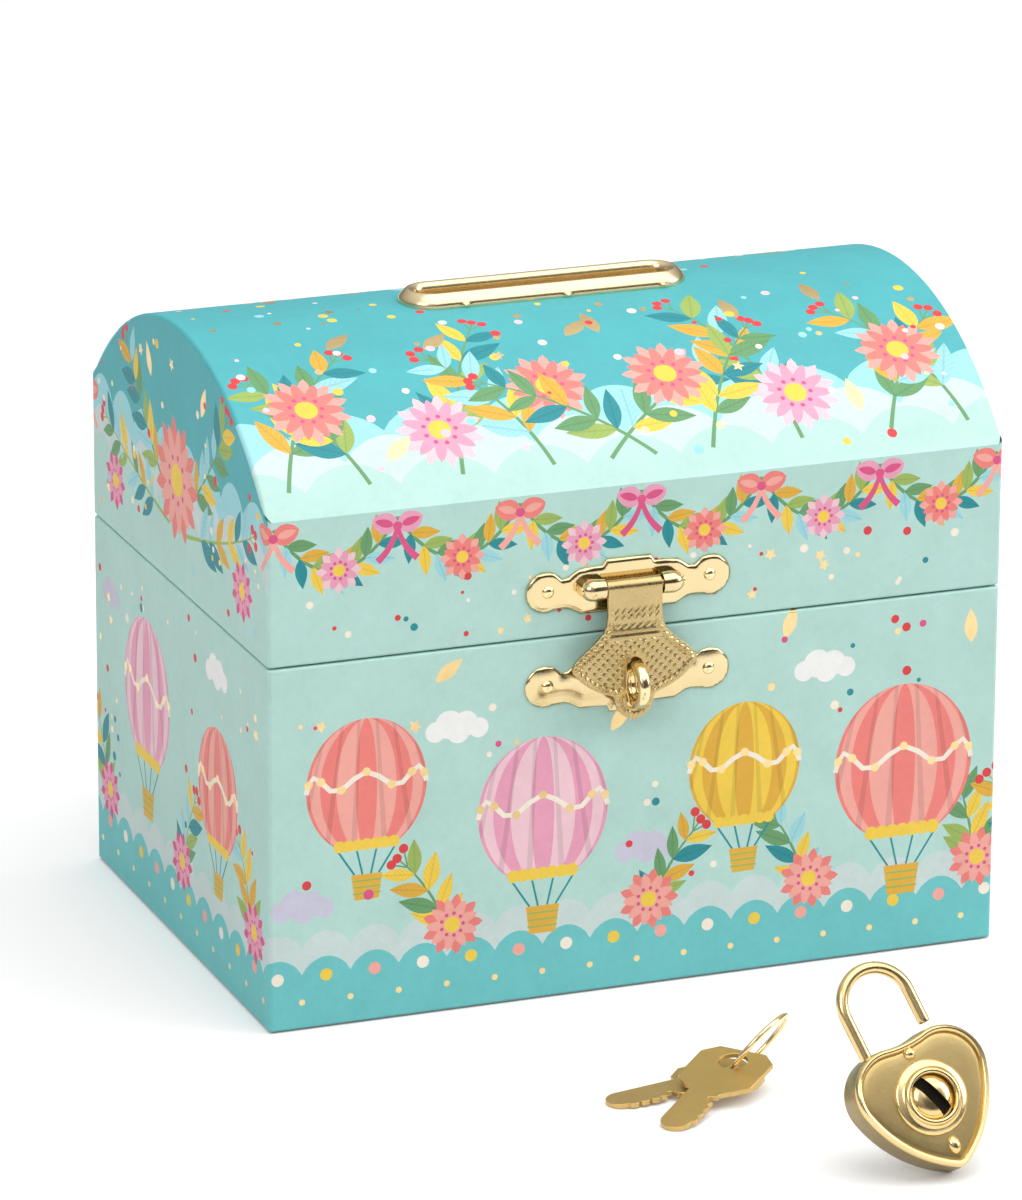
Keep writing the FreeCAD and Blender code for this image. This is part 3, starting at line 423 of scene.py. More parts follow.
    def wreath(self, at, radius, count, leaf):
        """Leaves laid round a ring by pairs, with berries and foil between."""
        self.line(disc(radius, 60) + np.array(at), MOSS, 0.6)
        for number, turn in enumerate(np.arange(count) * 2 * np.pi / count):
            spot = np.array(at) + radius * pointing(turn)
            for hand in (1, -1):
                shade = LEAVES[(number * 2 + (hand > 0)) % len(LEAVES)]
                self.leaf(spot, turn + math.pi / 2 - hand * 0.75, leaf, leaf * 0.4, shade)
            if number % 3 == 0:
                self.berry(spot + 2.6 * pointing(turn), 0.8, POPPY if number % 2 else GOLD)

    def piece(self, name, lines, roll, keep=lambda middle: True):
        """Cut the sheet along every ink's edge and along the fold lines, and roll it into place.
        keep says which of the pieces' middles stay, and roll gives their points in the chest."""
        flat, faces = cut_flat([shape[0] for shape in self.shapes] + lines)
        middle = flat[faces].mean(1)
        stays = ((middle > self.low) & (middle < self.high)).all(1) & keep(middle)
        stays &= np.ptp(flat[faces], axis=1).max(1) > SLIVER
        faces, middle = faces[stays], middle[stays]
        layer = np.zeros(len(faces), int)
        for number, (outline, *_) in enumerate(self.shapes):
            low, high = outline.min(0), outline.max(0)
            near = np.flatnonzero(((middle >= low) & (middle <= high)).all(1))
            layer[near[inside(middle[near], outline)]] = number
        used, faces = np.unique(faces, return_inverse=True)
        faces = faces.reshape(-1, 3)
        flat = flat[used]
        place, normal = roll(flat)
        sheet = bpy.data.meshes.new(name)
        sheet.from_pydata(place * MM, [], faces.tolist())
        sheet.polygons.foreach_set("use_smooth", np.ones(len(faces), bool))
        colour, kind, at, heading, reach = (
            np.array([shape[key] for shape in self.shapes], float)[layer] for key in range(1, 6)
        )
        ink = sheet.attributes.new("ink", "FLOAT_COLOR", "CORNER")
        shades = np.concatenate([colour, np.ones((len(faces), 1))], 1)
        ink.data.foreach_set("color", np.repeat(shades, 3, 0).ravel())
        away = flat[faces] - at[:, None]
        c, s = np.cos(heading)[:, None], np.sin(heading)[:, None]
        local = np.stack([away[..., 0] * c + away[..., 1] * s, away[..., 1] * c - away[..., 0] * s], -1)
        local = local / reach[:, None, None]
        marks = np.concatenate([local, np.broadcast_to(kind[:, None, None], (len(faces), 3, 1))], -1)
        motif = sheet.attributes.new("motif", "FLOAT_VECTOR", "CORNER")
        motif.data.foreach_set("vector", marks.ravel())
        sheet.normals_split_custom_set_from_vertices(normal)
        return bpy.data.objects.new(name, sheet)


def round_walls(along, inset):
    """Where a run round the chest's walls, from the middle of the front, comes to on plan, set
    in from the walls: straight runs joined by quarter rounds, or by mitres past their radius."""
    tight = np.maximum(CORNER - inset, 0)
    far_x = HALF_WIDTH - np.maximum(CORNER, inset)
    far_y = HALF_DEPTH - np.maximum(CORNER, inset)
    hand = np.where(along < 0, -1.0, 1.0)
    run = np.abs(along)
    first = FRONT_RUN + CORNER_RUN
    second = first + 2 * END_RUN
    bends = (np.clip((run - start) / CORNER_RUN, 0, 1) * np.pi / 2 for start in (FRONT_RUN, second))
    bend = sum(bends)
    x = np.clip(run, 0, FRONT_RUN) / FRONT_RUN * far_x
    x = np.where(run > second + CORNER_RUN, (HALF_ROUND - run) / FRONT_RUN * far_x, x)
    y = (run - first - END_RUN) / END_RUN * far_y
    y = np.where(run < first, -far_y, np.where(run > second, far_y, y))
    out = np.stack([np.sin(bend), -np.cos(bend)], -1)
    plan = np.stack([hand * (x + tight * out[:, 0]), y + tight * out[:, 1]], -1)
    return plan, out * np.stack([hand, np.ones_like(hand)], -1)


def fold_lines(low, high, count, across, upright=False):
    """Straight lines across a sheet, evenly spaced from low to high."""
    first, last = across
    lines = [np.array([(spot, first), (spot, last)]) for spot in np.linspace(low, high, count)]
    return lines if upright else [line[:, ::-1] for line in lines]


def corner_lines(sheet):
    """The upright lines at which a sheet bends round the chest's four corners."""
    lines = []
    across = sheet.low[1], sheet.high[1]
    for start in (FRONT_RUN, FRONT_RUN + CORNER_RUN + 2 * END_RUN):
        for hand in (1, -1):
            lines += fold_lines(hand * start, hand * (start + CORNER_RUN), CORNER_STEPS, across, True)
    return lines


def roll_walls(flat, foot, rise):
    """In under the foot, round a small fold, up the wall by the rise, and round a fold and in."""
    along, up = flat.T
    below = np.clip(-up, 0, FOLD_RUN) / FOLD
    above = np.clip(up - rise, 0, FOLD_RUN) / FOLD
    inset = FOLD * (1 - np.cos(below)) + FOLD * (1 - np.cos(above))
    inset = inset + np.clip(-up - FOLD_RUN, 0, None) + np.clip(up - rise - FOLD_RUN, 0, None)
    height = foot + np.clip(up, 0, rise) - FOLD * np.sin(below) + FOLD * np.sin(above)
    plan, out = round_walls(along, inset)
    tilt = (above - below)[:, None]
    normal = np.concatenate([out * np.cos(tilt), np.sin(tilt)], 1)
    return np.concatenate([plan, height[:, None]], 1), normal


def printed_paper(name):
    """Matte inks on paper, pooled like watercolour, with drawn veins and lines and flat foil."""
    finish = Finish(name, roughness=0.5)
    ink = finish.node("Attribute", out="Color", attribute_name="ink")
    motif = finish.node("Attribute", out="Vector", attribute_name="motif")
    along, across, kind = (finish.node("SeparateXYZ", out, {"Vector": motif}) for out in "XYZ")
    veined = abs(kind - VEINED) < 0.5
    lined = abs(kind - LINED) < 0.5
    foil = kind > FOIL - 0.5
    rib = abs(across) < 0.018
    slope = along - abs(across) * 1.1
    vein = (slope * VEINS).math("FRACT") < 0.13
    angle = across.math("ARCTAN2", along)
    spoke = (angle * PETAL_LINES).math("FRACT") < 0.2
    drawn = veined * rib.math("MAXIMUM", vein) + lined * spoke
    pool = finish.noise(90.0, 5.0, 0.6)
    bloom = finish.noise(600.0, 4.0, 0.6)
    grain = finish.noise(3200.0, 3.0)
    wash = 0.78 + 0.22 * pool + 0.14 * bloom + 0.06 * grain
    wash = wash * (1.0 - DRAWN_INK * drawn)
    tinted = finish.blend(1.0, ink, wash, "MULTIPLY")
    brushed = finish.blend(bloom, tuple(GOLD * 0.85), tuple(GOLD * 1.12))
    finish.surface(
        base_color=finish.blend(foil, tinted, brushed),
        metallic=foil,
        roughness=0.52 + 0.1 * grain - 0.24 * foil,
    )
    finish.bump(grain + 0.5 * bloom + 0.6 * foil, PAPER_TOOTH)
    return finish


def fit(piece, body, slot, finish, *replaced):
    """Put a new piece on its body with its finish, in place of the nodes it stands for. Its slot is not used.
    """
    bpy.context.scene.collection.objects.link(piece)
    piece.data.materials.append(finish.material)
    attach(piece, body)
    if replaced:
        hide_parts(*replaced)
    return piece


SCALLOPS = 26
SCALLOP = HALF_ROUND / SCALLOPS
DOT_INKS = (GOLD, POPPY, DEEP_TEAL, CREAM)
DOT_SIZES = (0.35, 0.9)
HASP_CLEAR = ((-2.3, 55.0), 20.0)
FRONT_CLOUDS = ((-32.0, 48.0, WHITE_INK), (33.5, 51.0, WHITE_INK), (1.5, 23.0, LILAC), (-59.0, 20.0, LILAC))
FRONT_BALLOONS = (
    ((-48.0, 40.5), 10.5, (CORAL, SALMON)),
    ((-17.0, 32.5), 11.5, (ROSE, BLUSH)),
    ((19.0, 36.0), 10.0, (MUSTARD, LEMON)),
    ((48.0, 33.0), 12.5, (CORAL, SALMON)),
)
paper = printed_paper("printed_paper")
box_sheet = PrintedSheet(
    (-HALF_ROUND, -FOLD_RUN - TURN_UNDER), (HALF_ROUND, WALL_RISE + FOLD_RUN + TURN_OVER), AQUA
)
for level, colour in ((13.5, MIST), (9.0, LAGOON)):
    box_sheet.scallops(-HALF_ROUND, HALF_ROUND, level, SCALLOP, colour, 0.34, -8)
for step in range(2 * SCALLOPS):
    spot = (step + 0.5) * HALF_ROUND / SCALLOPS - HALF_ROUND
    box_sheet.berry((spot, 8.6), 1.1, (CREAM, LEMON, SALMON)[step % 3])
    box_sheet.berry((spot + SCALLOP / 2, 4.2), 0.55, GOLD)
for x, level, colour in FRONT_CLOUDS:
    box_sheet.cloud((x, level), 3.6, colour)
for x, lean in ((-33.0, 0.25), (2.0, -0.25), (31.0, 0.2), (62.0, 0.1)):
    box_sheet.sprig((x, 11.0), math.pi / 2 + lean, 16.0, lean, MOSS, 4, 6.4)
    box_sheet.daisy((x, 14.5), 5.4, 9, SALMON, CORAL)
for at, size, colours in FRONT_BALLOONS:
    box_sheet.balloon(at, size, colours)
for x, level in ((-36.0, 57.0), (26.0, 57.5), (60.0, 53.0), (-5.0, 45.0)):
    box_sheet.leaf((x, level), 1.0 + 0.01 * x, 6.0, 2.4, GOLD)
clear = [((x, level - 3.0), size * 1.4) for (x, level), size, _ in FRONT_BALLOONS] + [HASP_CLEAR]
box_sheet.scatter((-62, 18), (62, 60), 90, (*DOT_INKS, MAGENTA), (0.35, 0.95), clear)
for middle in (-END_MIDDLE, END_MIDDLE):
    box_sheet.cloud((middle + 20.0, 53.0), 3.6, WHITE_INK)
    box_sheet.cloud((middle - 36.0, 50.0), 3.2, LILAC)
    for x, lean in ((-38.0, 0.2), (1.0, -0.2), (38.0, 0.2)):
        box_sheet.sprig((middle + x, 11.0), math.pi / 2 + lean, 17.0, lean, OLIVE, 4, 6.8)
        box_sheet.daisy((middle + x, 14.5), 5.4, 9, ROSE, MAGENTA)
    box_sheet.balloon((middle - 17.0, 38.5), 12.0, (ROSE, BLUSH))
    box_sheet.balloon((middle + 20.0, 33.0), 10.0, (CORAL, SALMON))
    clear = [((middle - 17.0, 35.0), 17.0), ((middle + 20.0, 30.0), 15.0)]
    box_sheet.scatter((middle - 43, 17), (middle + 43, 60), 60, DOT_INKS, DOT_SIZES, clear)
for middle in (-HALF_ROUND, HALF_ROUND):
    box_sheet.wreath((middle, 33.0), 16.0, 16, 8.0)
    box_sheet.daisy((middle, 33.0), 10.0, 11, SALMON, BLUSH)
    for side in (-1, 1):
        near, far = middle + side * 26.0, middle + side * 49.0
        box_sheet.sprig((near, 16.0), math.pi / 2 - side * 0.2, 34.0, side * 0.2, OLIVE, 6, 8.0)
        box_sheet.daisy((far, 30.0), 8.0, 10, ROSE, MAGENTA)
        box_sheet.sprig((far, 22.0), -math.pi / 2 + side * 0.6, 9.0, 0.2, MOSS, 2, 7.0)
    box_sheet.scatter((middle - 62, 17), (middle + 62, 60), 70, DOT_INKS, DOT_SIZES)
sheet_span = (-HALF_ROUND, HALF_ROUND)
box_folds = fold_lines(-FOLD_RUN, 0, FOLD_STEPS, sheet_span)
box_folds += fold_lines(WALL_RISE, WALL_RISE + FOLD_RUN, FOLD_STEPS, sheet_span)
box_folds += corner_lines(box_sheet)
box_print = box_sheet.piece("box_print", box_folds, lambda flat: roll_walls(flat, BOX_FOOT + FOLD, WALL_RISE))
fit(box_print, "box", "printed_paper", paper, "box_wrap")

# The lid's paper is folded over its rim, runs up the walls and gables, and goes on over the
# dome, with a soft edge along each gable and a crease at the eaves.
LID_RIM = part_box("lid_wrap")[0].z / MM
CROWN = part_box("lid_wrap")[1].z / MM
DOME_RISE = 21.0
EAVE = CROWN - DOME_RISE
DOME_RADIUS = (HALF_DEPTH**2 + DOME_RISE**2) / (2 * DOME_RISE)
DOME_CENTRE = CROWN - DOME_RADIUS
DOME_LEAN = math.asin(HALF_DEPTH / DOME_RADIUS)
DOME_RUN = 2 * DOME_RADIUS * DOME_LEAN
DOME_STEPS = 61
EDGE = 0.7
EDGE_RUN = EDGE * math.pi / 2
EDGE_FADE = 0.07
FLAT_HALF = HALF_WIDTH - EDGE
DOME_HALF = FLAT_HALF + EDGE_RUN
SLOT_HALF_LENGTH, SLOT_HALF_WIDTH = 23.2, 3.2
WALL_FOOT = LID_RIM + FOLD
GABLE_HALF = END_RUN + CORNER_RUN / 2
GARLAND = 21.3
DOME_SCALLOPS = 8
DOME_SPRIGS = (
    (60, 0.25, 30, 0.28, 8.4),
    (46, -0.35, 26, -0.2, 8.0),
    (30, 0.15, 34, 0.2, 8.6),
    (14, -0.3, 28, -0.22, 8.0),
    (4, 0.75, 30, 0.2, 7.6),
)
DOME_DAISIES = ((10.5, 21, (CORAL, SALMON)), (31.5, 14, (ROSE, BLUSH)), (52.5, 21, (CORAL, SALMON)))


def edge_round(lean):
    """The gable edge's radius, which fades to nothing at the eaves."""
    t = np.clip((DOME_LEAN - np.abs(lean)) / EDGE_FADE, 0, 1)
    return EDGE * t * t * (3 - 2 * t)


def gable_top(along):
    """The height of the wall's top edge at a run round the lid: the eaves, or the dome's arc."""
    y = round_walls(along, along * 0)[0][:, 1]
    lean = np.arcsin(np.clip(y / DOME_RADIUS, -1, 1))
    for _ in range(3):
        lean = np.arcsin(np.clip(y / (DOME_RADIUS - edge_round(lean)), -1, 1))
    return DOME_CENTRE + (DOME_RADIUS - edge_round(lean)) * np.cos(lean) - WALL_FOOT


def roll_dome(flat):
    """Across the dome's arc, and round a small edge at each gable."""
    across, run = flat.T
    lean = run / DOME_RADIUS - DOME_LEAN
    edge = edge_round(lean)
    turn = np.clip((np.abs(across) - FLAT_HALF) / EDGE_RUN, 0, 1) * np.pi / 2
    reach = DOME_RADIUS - edge * (1 - np.cos(turn))
    y = reach * np.sin(lean)
    past = np.clip(np.abs(y) - END_RUN, 0, CORNER)
    half = FRONT_RUN + np.sqrt(CORNER**2 - past**2)
    share = np.clip(across / FLAT_HALF, -1, 1)
    x = share * (half - edge) + np.sign(across) * edge * np.sin(turn)
    place = np.stack([x, y, DOME_CENTRE + reach * np.cos(lean)], 1)
    side = np.cos(turn)
    normal = np.stack([np.sign(across) * np.sin(turn), side * np.sin(lean), side * np.cos(lean)], 1)
    return place, normal


lid_walls = PrintedSheet((-HALF_ROUND, -FOLD_RUN - TURN_OVER), (HALF_ROUND, CROWN - WALL_FOOT), AQUA)
for middle in (-END_MIDDLE, END_MIDDLE):
    upper = np.array([(-1, 50), (1, 50), (1, 22), (-1, 22)]) * (GABLE_HALF, 1) + (middle, 0)
    lid_walls.ink(upper, TURQUOISE)
    for level, colour, foot in ((22.0, PALE_SKY, 17), (16.5, MIST, 12), (11.5, AQUA, 0)):
        lid_walls.scallops(middle - GABLE_HALF, middle + GABLE_HALF, level, 11.3, colour, 0.36, foot)
    for side in (-1, 1):
        near = middle + side * 4
        lid_walls.sprig((near, 14), math.pi / 2 - side * 0.95, 30.0, side * 0.16, MOSS, 6, 7.2)
        lid_walls.sprig((near, 10), math.pi / 2 - side * 1.4, 34.0, side * 0.1, OLIVE, 6, 7.2)
        lid_walls.leaf((middle + side * 13, 33), math.pi / 2 - side * 0.4, 6.0, 2.4, GOLD)
        lid_walls.daisy((middle + side * 33, 9.0), 5.2, 9, ROSE, MAGENTA)
    lid_walls.daisy((middle, 18.5), 11.0, 11, SALMON, CORAL)
    inks = (GOLD, POPPY, CREAM, LEMON, PALE_SKY)
    lid_walls.scatter((middle - 42, 3), (middle + 42, 40), 60, inks, DOT_SIZES, [((middle, 18.5), 13.0)])
for middle in (0.0, -HALF_ROUND, HALF_ROUND):
    for number in range(-3, 3):
        start, end = number * GARLAND, (number + 1) * GARLAND
        swag = curve((middle + start, 23.0), (middle + (start + end) / 2, 7.0), (middle + end, 23.0), 20)
        lid_walls.line(swag, MOSS, 0.6)
        for step in range(2, 18, 2):
            lean = math.atan2(*(swag[step + 1] - swag[step])[::-1])
            for hand in (1, -1):
                shade = LEAVES[(step + 2 * number + (hand > 0)) % len(LEAVES)]
                lid_walls.leaf(swag[step], lean + hand * 0.8, 5.2, 2.1, shade)
        lid_walls.daisy(swag[10], 4.0, 8, (CORAL, ROSE)[number % 2], (SALMON, BLUSH)[number % 2])
    for number in range(-3, 4):
        spot = (middle + number * GARLAND, 21.5)
        lid_walls.bow(spot, 4.6, (ROSE, CORAL)[number % 2], (MAGENTA, SALMON)[number % 2])
    lid_walls.scatter((middle - 62, 1.5), (middle + 62, 12), 46, DOT_INKS, (0.3, 0.8))
side_runs = np.linspace(FRONT_RUN, FRONT_RUN + 2 * (CORNER_RUN + END_RUN), 140)
lid_folds = fold_lines(-FOLD_RUN, 0, FOLD_STEPS, sheet_span) + corner_lines(lid_walls)
for hand in (1, -1):
    top_edge = np.stack([hand * side_runs, gable_top(hand * side_runs)], 1)
    lid_folds += [np.array(pair) for pair in zip(top_edge[:-1], top_edge[1:])]
lid_folds += fold_lines(EAVE - WALL_FOOT, EAVE - WALL_FOOT, 1, sheet_span)
lid_wall_print = lid_walls.piece(
    "lid_wall_print",
    lid_folds,
    lambda flat: roll_walls(flat, WALL_FOOT, math.inf),
    lambda middle: middle[:, 1] < gable_top(middle[:, 0]),
)
fit(lid_wall_print, "lid", "printed_paper", paper, "lid_wrap")

dome = PrintedSheet((-DOME_HALF, 0), (DOME_HALF, DOME_RUN), TURQUOISE)
for way, eave in ((1, 0.0), (-1, DOME_RUN)):
    for level, colour, shift in ((15.0, PALE_SKY, 0.5), (9.5, MIST, 0.0), (4.5, AQUA, 0.5)):
        t = np.linspace(0, DOME_SCALLOPS, DOME_SCALLOPS * 12 + 1)
        rise = level + 4.6 * np.abs(np.sin(np.pi * (t + shift))) ** 0.75
        top = np.stack([-DOME_HALF + 2 * DOME_HALF * t / DOME_SCALLOPS, eave + way * rise], 1)
        dome.ink(np.concatenate([top, [[DOME_HALF, eave], [-DOME_HALF, eave]]]), colour)
    for side in (-1, 1):
        for start, lean, length, bend, leaf in DOME_SPRIGS:
            heading = way * (math.pi / 2 + side * lean)
            dome.sprig((side * start, eave + way * 5.0), heading, length, bend * side * way, MOSS, 5, leaf)
        for x, run, inks in DOME_DAISIES:
            dome.daisy((side * x, eave + way * run), 7.6, 11, *inks, 0.2)
        for x, run in ((28, 33), (42, 9), (3, 33), (44, 36)):
            dome.leaf((side * x, eave + way * run), way * 1.2 + side * 0.5, 6.8, 2.7, GOLD)
inks = (GOLD, POPPY, CREAM, LEMON, PALE_SKY, BLUSH)
dome.scatter((-62, 3), (62, DOME_RUN - 3), 170, inks, (0.35, 0.95))
dome_folds = fold_lines(0, DOME_RUN, DOME_STEPS, (-DOME_HALF, DOME_HALF))
for hand in (1, -1):
    dome_folds += fold_lines(hand * FLAT_HALF, hand * DOME_HALF, CORNER_STEPS, (0, DOME_RUN), True)
t = np.linspace(-np.pi / 2, np.pi / 2, 14)
cap_x = SLOT_HALF_LENGTH - SLOT_HALF_WIDTH + SLOT_HALF_WIDTH * np.cos(t)
cap = np.stack([cap_x, SLOT_HALF_WIDTH * np.sin(t)], 1)
slot_edge = np.concatenate([cap, -cap]) + (0, DOME_RUN / 2)
dome_folds += [slot_edge]
dome_print = dome.piece("lid_dome_print", dome_folds, roll_dome, lambda middle: ~inside(middle, slot_edge))
fit(dome_print, "lid", "printed_paper", paper)

# Yellow plating is on the bead round the coin slot, the hasp and the staple. The bead is
# pressed to a long ring with round ends: its sleeve goes down through the lid, small crimps
# swell it low on its sides, and claws bent out under the lining hold it.
BEAD_FLAT = 20.0
BEAD_SECTION = (
    (2.7, -3.6), (2.7, 1.0), (2.84, 1.58), (3.18, 2.0), (3.6, 2.18), (3.9, 2.2), (4.2, 2.08), (4.6, 1.72),
    (5.0, 1.3), (5.3, 0.9), (5.4, 0.72), (5.46, 0.55), (5.49, 0.38), (5.5, 0.2), (5.5, 0.0), (5.5, -0.18),
    (5.5, -0.35), (5.1, -0.4), (3.1, -0.4), (3.1, -3.6),
)
BEAD_OUTSIDE = 5.35
BEND_STEPS, SIDE_STEPS = 25, 121
CRIMPS = (-15.6, 2.6, 20.0)
CRIMP_LENGTH, CRIMP_LEVEL, CRIMP_HEIGHT, CRIMP_SWELL = 0.6, 0.15, 0.3, 0.3
CLAW_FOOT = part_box("coin_slot_bezel")[0].z / MM
CLAW_SHEET, CLAW_ROOT, CLAW_REACH, CLAW_HALF, CLAW_ROUND = 0.4, 2.8, 5.3, 2.0, 0.8
CREASE = math.radians(38)


def brass(name, pale, deep, gloss, wear, ripple):
    """Yellow metal: a cloudy tint, fine wear that dulls its gloss, and a shallow ripple."""
    finish = Finish(name, metallic=1.0)
    tint = finish.noise(160.0, 4.0)
    rub = finish.noise(2400.0, 5.0, 0.6)
    finish.surface(base_color=finish.blend(tint, deep, pale), roughness=gloss + wear * rub)
    finish.bump(tint + 0.4 * rub, ripple)
    return finish


def weld(name, points, faces, sealed=True):
    """A piece from points in metres and faces, with doubles merged and its creases kept sharp.
    A sealed one is turned outwards."""
    shape = bpy.data.meshes.new(name)
    shape.from_pydata(points, [], [list(face) for face in faces])
    work = bmesh.new()
    work.from_mesh(shape)
    bmesh.ops.remove_doubles(work, verts=work.verts, dist=2e-7)
    if sealed:
        bmesh.ops.recalc_face_normals(work, faces=work.faces)
    work.to_mesh(shape)
    work.free()
    shape.polygons.foreach_set("use_smooth", np.ones(len(shape.polygons), bool))
    shape.set_sharp_from_angle(angle=CREASE)
    return bpy.data.objects.new(name, shape)


def cells(shape, loops):
    """The four point numbers of each cell of a grid, joined round its rows or its columns where
    loops says so."""
    number = np.arange(shape[0] * shape[1]).reshape(shape)
    number = np.pad(number, [(0, int(loop)) for loop in loops], "wrap")
    return np.stack([number[:-1, :-1], number[1:, :-1], number[1:, 1:], number[:-1, 1:]], -1)


def skin(name, grid, loops=(False, True)):
    """A surface through a grid of points in millimetres."""
    return weld(name, grid.reshape(-1, 3) * MM, cells(grid.shape[:2], loops).reshape(-1, 4))


def hump(offset, width):
    """A smooth hump, 1 high in its middle."""
    return np.exp(-((offset / width) ** 2))


def long_ring():
    """The bead's section of distance out and height above the crown, carried round two straight
    sides and two round ends. Low on its outside each crimp swells it by a small hump."""
    bend = np.linspace(-np.pi / 2, np.pi / 2, BEND_STEPS)
    run = np.linspace(BEAD_FLAT, -BEAD_FLAT, SIDE_STEPS)
    side, end = np.full(SIDE_STEPS, np.pi / 2), np.full(BEND_STEPS, BEAD_FLAT)
    turn = np.concatenate([bend, side, bend + np.pi, -side])
    start = np.concatenate([end, run, -end, -run])
    out, height = np.array(BEAD_SECTION).T
    swell = hump(start[:, None] - CRIMPS, CRIMP_LENGTH).sum(1) * (np.abs(np.sin(turn)) > 0.999)
    low = np.where(out > BEAD_OUTSIDE, hump(height - CRIMP_LEVEL, CRIMP_HEIGHT), 0)
    away = out[:, None] + CRIMP_SWELL * low[:, None] * swell
    height = np.broadcast_to(height[:, None], away.shape)
    return np.stack([start + away * np.cos(turn), away * np.sin(turn), CROWN + height], -1)


def claw(name, x, hand):
    """A tab bent out flat under the lining: a sheet with a rounded tip, through its thickness."""
    turn = np.radians(np.linspace(0, 180, 13))
    tip = CLAW_HALF * np.sign(np.cos(turn)) * np.abs(np.cos(turn)) ** 0.5
    out = np.concatenate([[CLAW_ROOT], CLAW_REACH - CLAW_ROUND + CLAW_ROUND * np.sin(turn), [CLAW_ROOT]])
    wide = np.concatenate([[CLAW_HALF], tip, [-CLAW_HALF]])
    rings = np.array([0.0, 0.92, 1.0, 1.0, 0.92, 0.0])[:, None]
    height = CLAW_FOOT + CLAW_SHEET * np.array([0, 0, 0.15, 0.85, 1, 1])[:, None]
    middle = (CLAW_ROOT + CLAW_REACH) / 2
    y = hand * (middle + rings * (out - middle))
    return skin(name, np.stack(np.broadcast_arrays(x + rings * wide, y, height), -1))


plating = brass("yellow_plating", (0.90, 0.74, 0.43), (0.83, 0.64, 0.33), 0.07, 0.16, 0.00002)
bead_plating = brass("bead_plating", (0.85, 0.70, 0.43), (0.78, 0.61, 0.34), 0.16, 0.16, 0.00002)
slot_bead = skin("slot_bead", long_ring(), loops=(True, True))
fit(slot_bead, "lid", "plated_brass", bead_plating, "coin_slot_bezel")
for number, x in enumerate((-15.0, 0.0, 15.0)):
    for side, hand in (("front", -1), ("back", 1)):
        fit(claw(f"slot_claw_{side}_{number + 1}", x, hand), "lid", "plated_brass", plating)

# The hasp's plate is stamped with two round lobes and nailed to the front of the lid. Two
# bulged ears stand on it and hold a pin. The staple's plate below is the same without ears.
joints = {joint["name"]: joint for joint in frame["joints"]}
SIDES = (("left", -1), ("right", 1))
HASP_X, PIN_Y, PIN_Z = (coordinate / MM for coordinate in joints["flap_swing"]["pos_m"])
PLATE_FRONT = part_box("staple_plate")[0].y / MM
STAPLE_Z = (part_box("staple_plate")[0].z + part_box("staple_plate")[1].z) / 2 / MM
PLATE_SHEET, PLATE_LAID, PLATE_FILL = 0.22, 0.36, 0.4
LOBE_AT, LOBE_ROUND = 14.6 - 0.1j, 3.5
PLATE_TOP = (4.6j, 3.9 + 4.6j, 4.7 + 3.5j, 8.6 + 3.4j, 10.6 + 2.1j)
PLATE_FOOT = (11.5 - 3.2j, 10.2 - 3.5j, 8.4 - 4.5j, 3.6 - 4.5j)
HASP_HEEL, STAPLE_HEEL = (-4.5j,), (3.2 - 5.7j, -5.7j)
RECESS, RECESS_LIP = 0.45, np.array([0.96, 0.9])
WINDOW = np.array([(-5.1, -2.2), (5.1, -2.2), (5.1, 2.2), (-5.1, 2.2)])
EAR_START, EAR_LENGTH, EAR_ROUND = 5.1, 4.0, 1.9


def thickened(piece, sheet):
    """A surface made into sheet metal behind its face."""
    wall = piece.modifiers.new("sheet", "SOLIDIFY")
    wall.thickness, wall.offset = sheet * MM, -1.0
    return piece


def stamped_plate(name, level, heel, border, power, recess=None):
    """A plate with a mirrored edge: a top, a round lobe, a foot and a heel. Its face is laid back
    towards the edge by a power law, and let in behind the knuckle where it has a recess."""
    lobe = LOBE_AT + LOBE_ROUND * np.exp(1j * np.radians(np.linspace(145, -110, 36)))
    half = np.concatenate([PLATE_TOP, lobe, PLATE_FOOT, heel])
    edge = np.concatenate([half, -half[-2:0:-1].conj()])[::-1]
    outline = np.stack([edge.real, edge.imag], 1)
    t = np.linspace(0, 1, 24, endpoint=False)[:, None, None]
    fine = (outline * (1 - t) + np.roll(outline, -1, 0) * t).reshape(-1, 2)

    def from_edge(points):
        """The distance to the nearest of the points spaced finely along the edge."""
        return np.hypot(*(points[:, None] - fine).transpose(2, 0, 1)).min(1)

    across, up = np.arange(-18, 18.1, PLATE_FILL), np.arange(-6, 5, PLATE_FILL)
    fill = np.stack(np.meshgrid(across, up), -1).reshape(-1, 2)
    fill = fill[inside(fill, outline) & (from_edge(fill) > 0.25)]
    loops = [outline] if recess is None else [outline, recess, recess * RECESS_LIP]
    flat, faces = cut_flat(loops, fill)
    faces = faces[inside(flat[faces].mean(1), outline)]
    back = PLATE_LAID * np.clip(1 - from_edge(flat) / border, 0, 1) ** power
    if recess is not None:
        back = np.where(inside(flat, recess * (1 + RECESS_LIP) / 2), RECESS, back)
    place = np.stack([HASP_X + flat[:, 0], PLATE_FRONT + back, level + flat[:, 1]], 1)
    return thickened(weld(name, place * MM, faces, sealed=False), PLATE_SHEET)


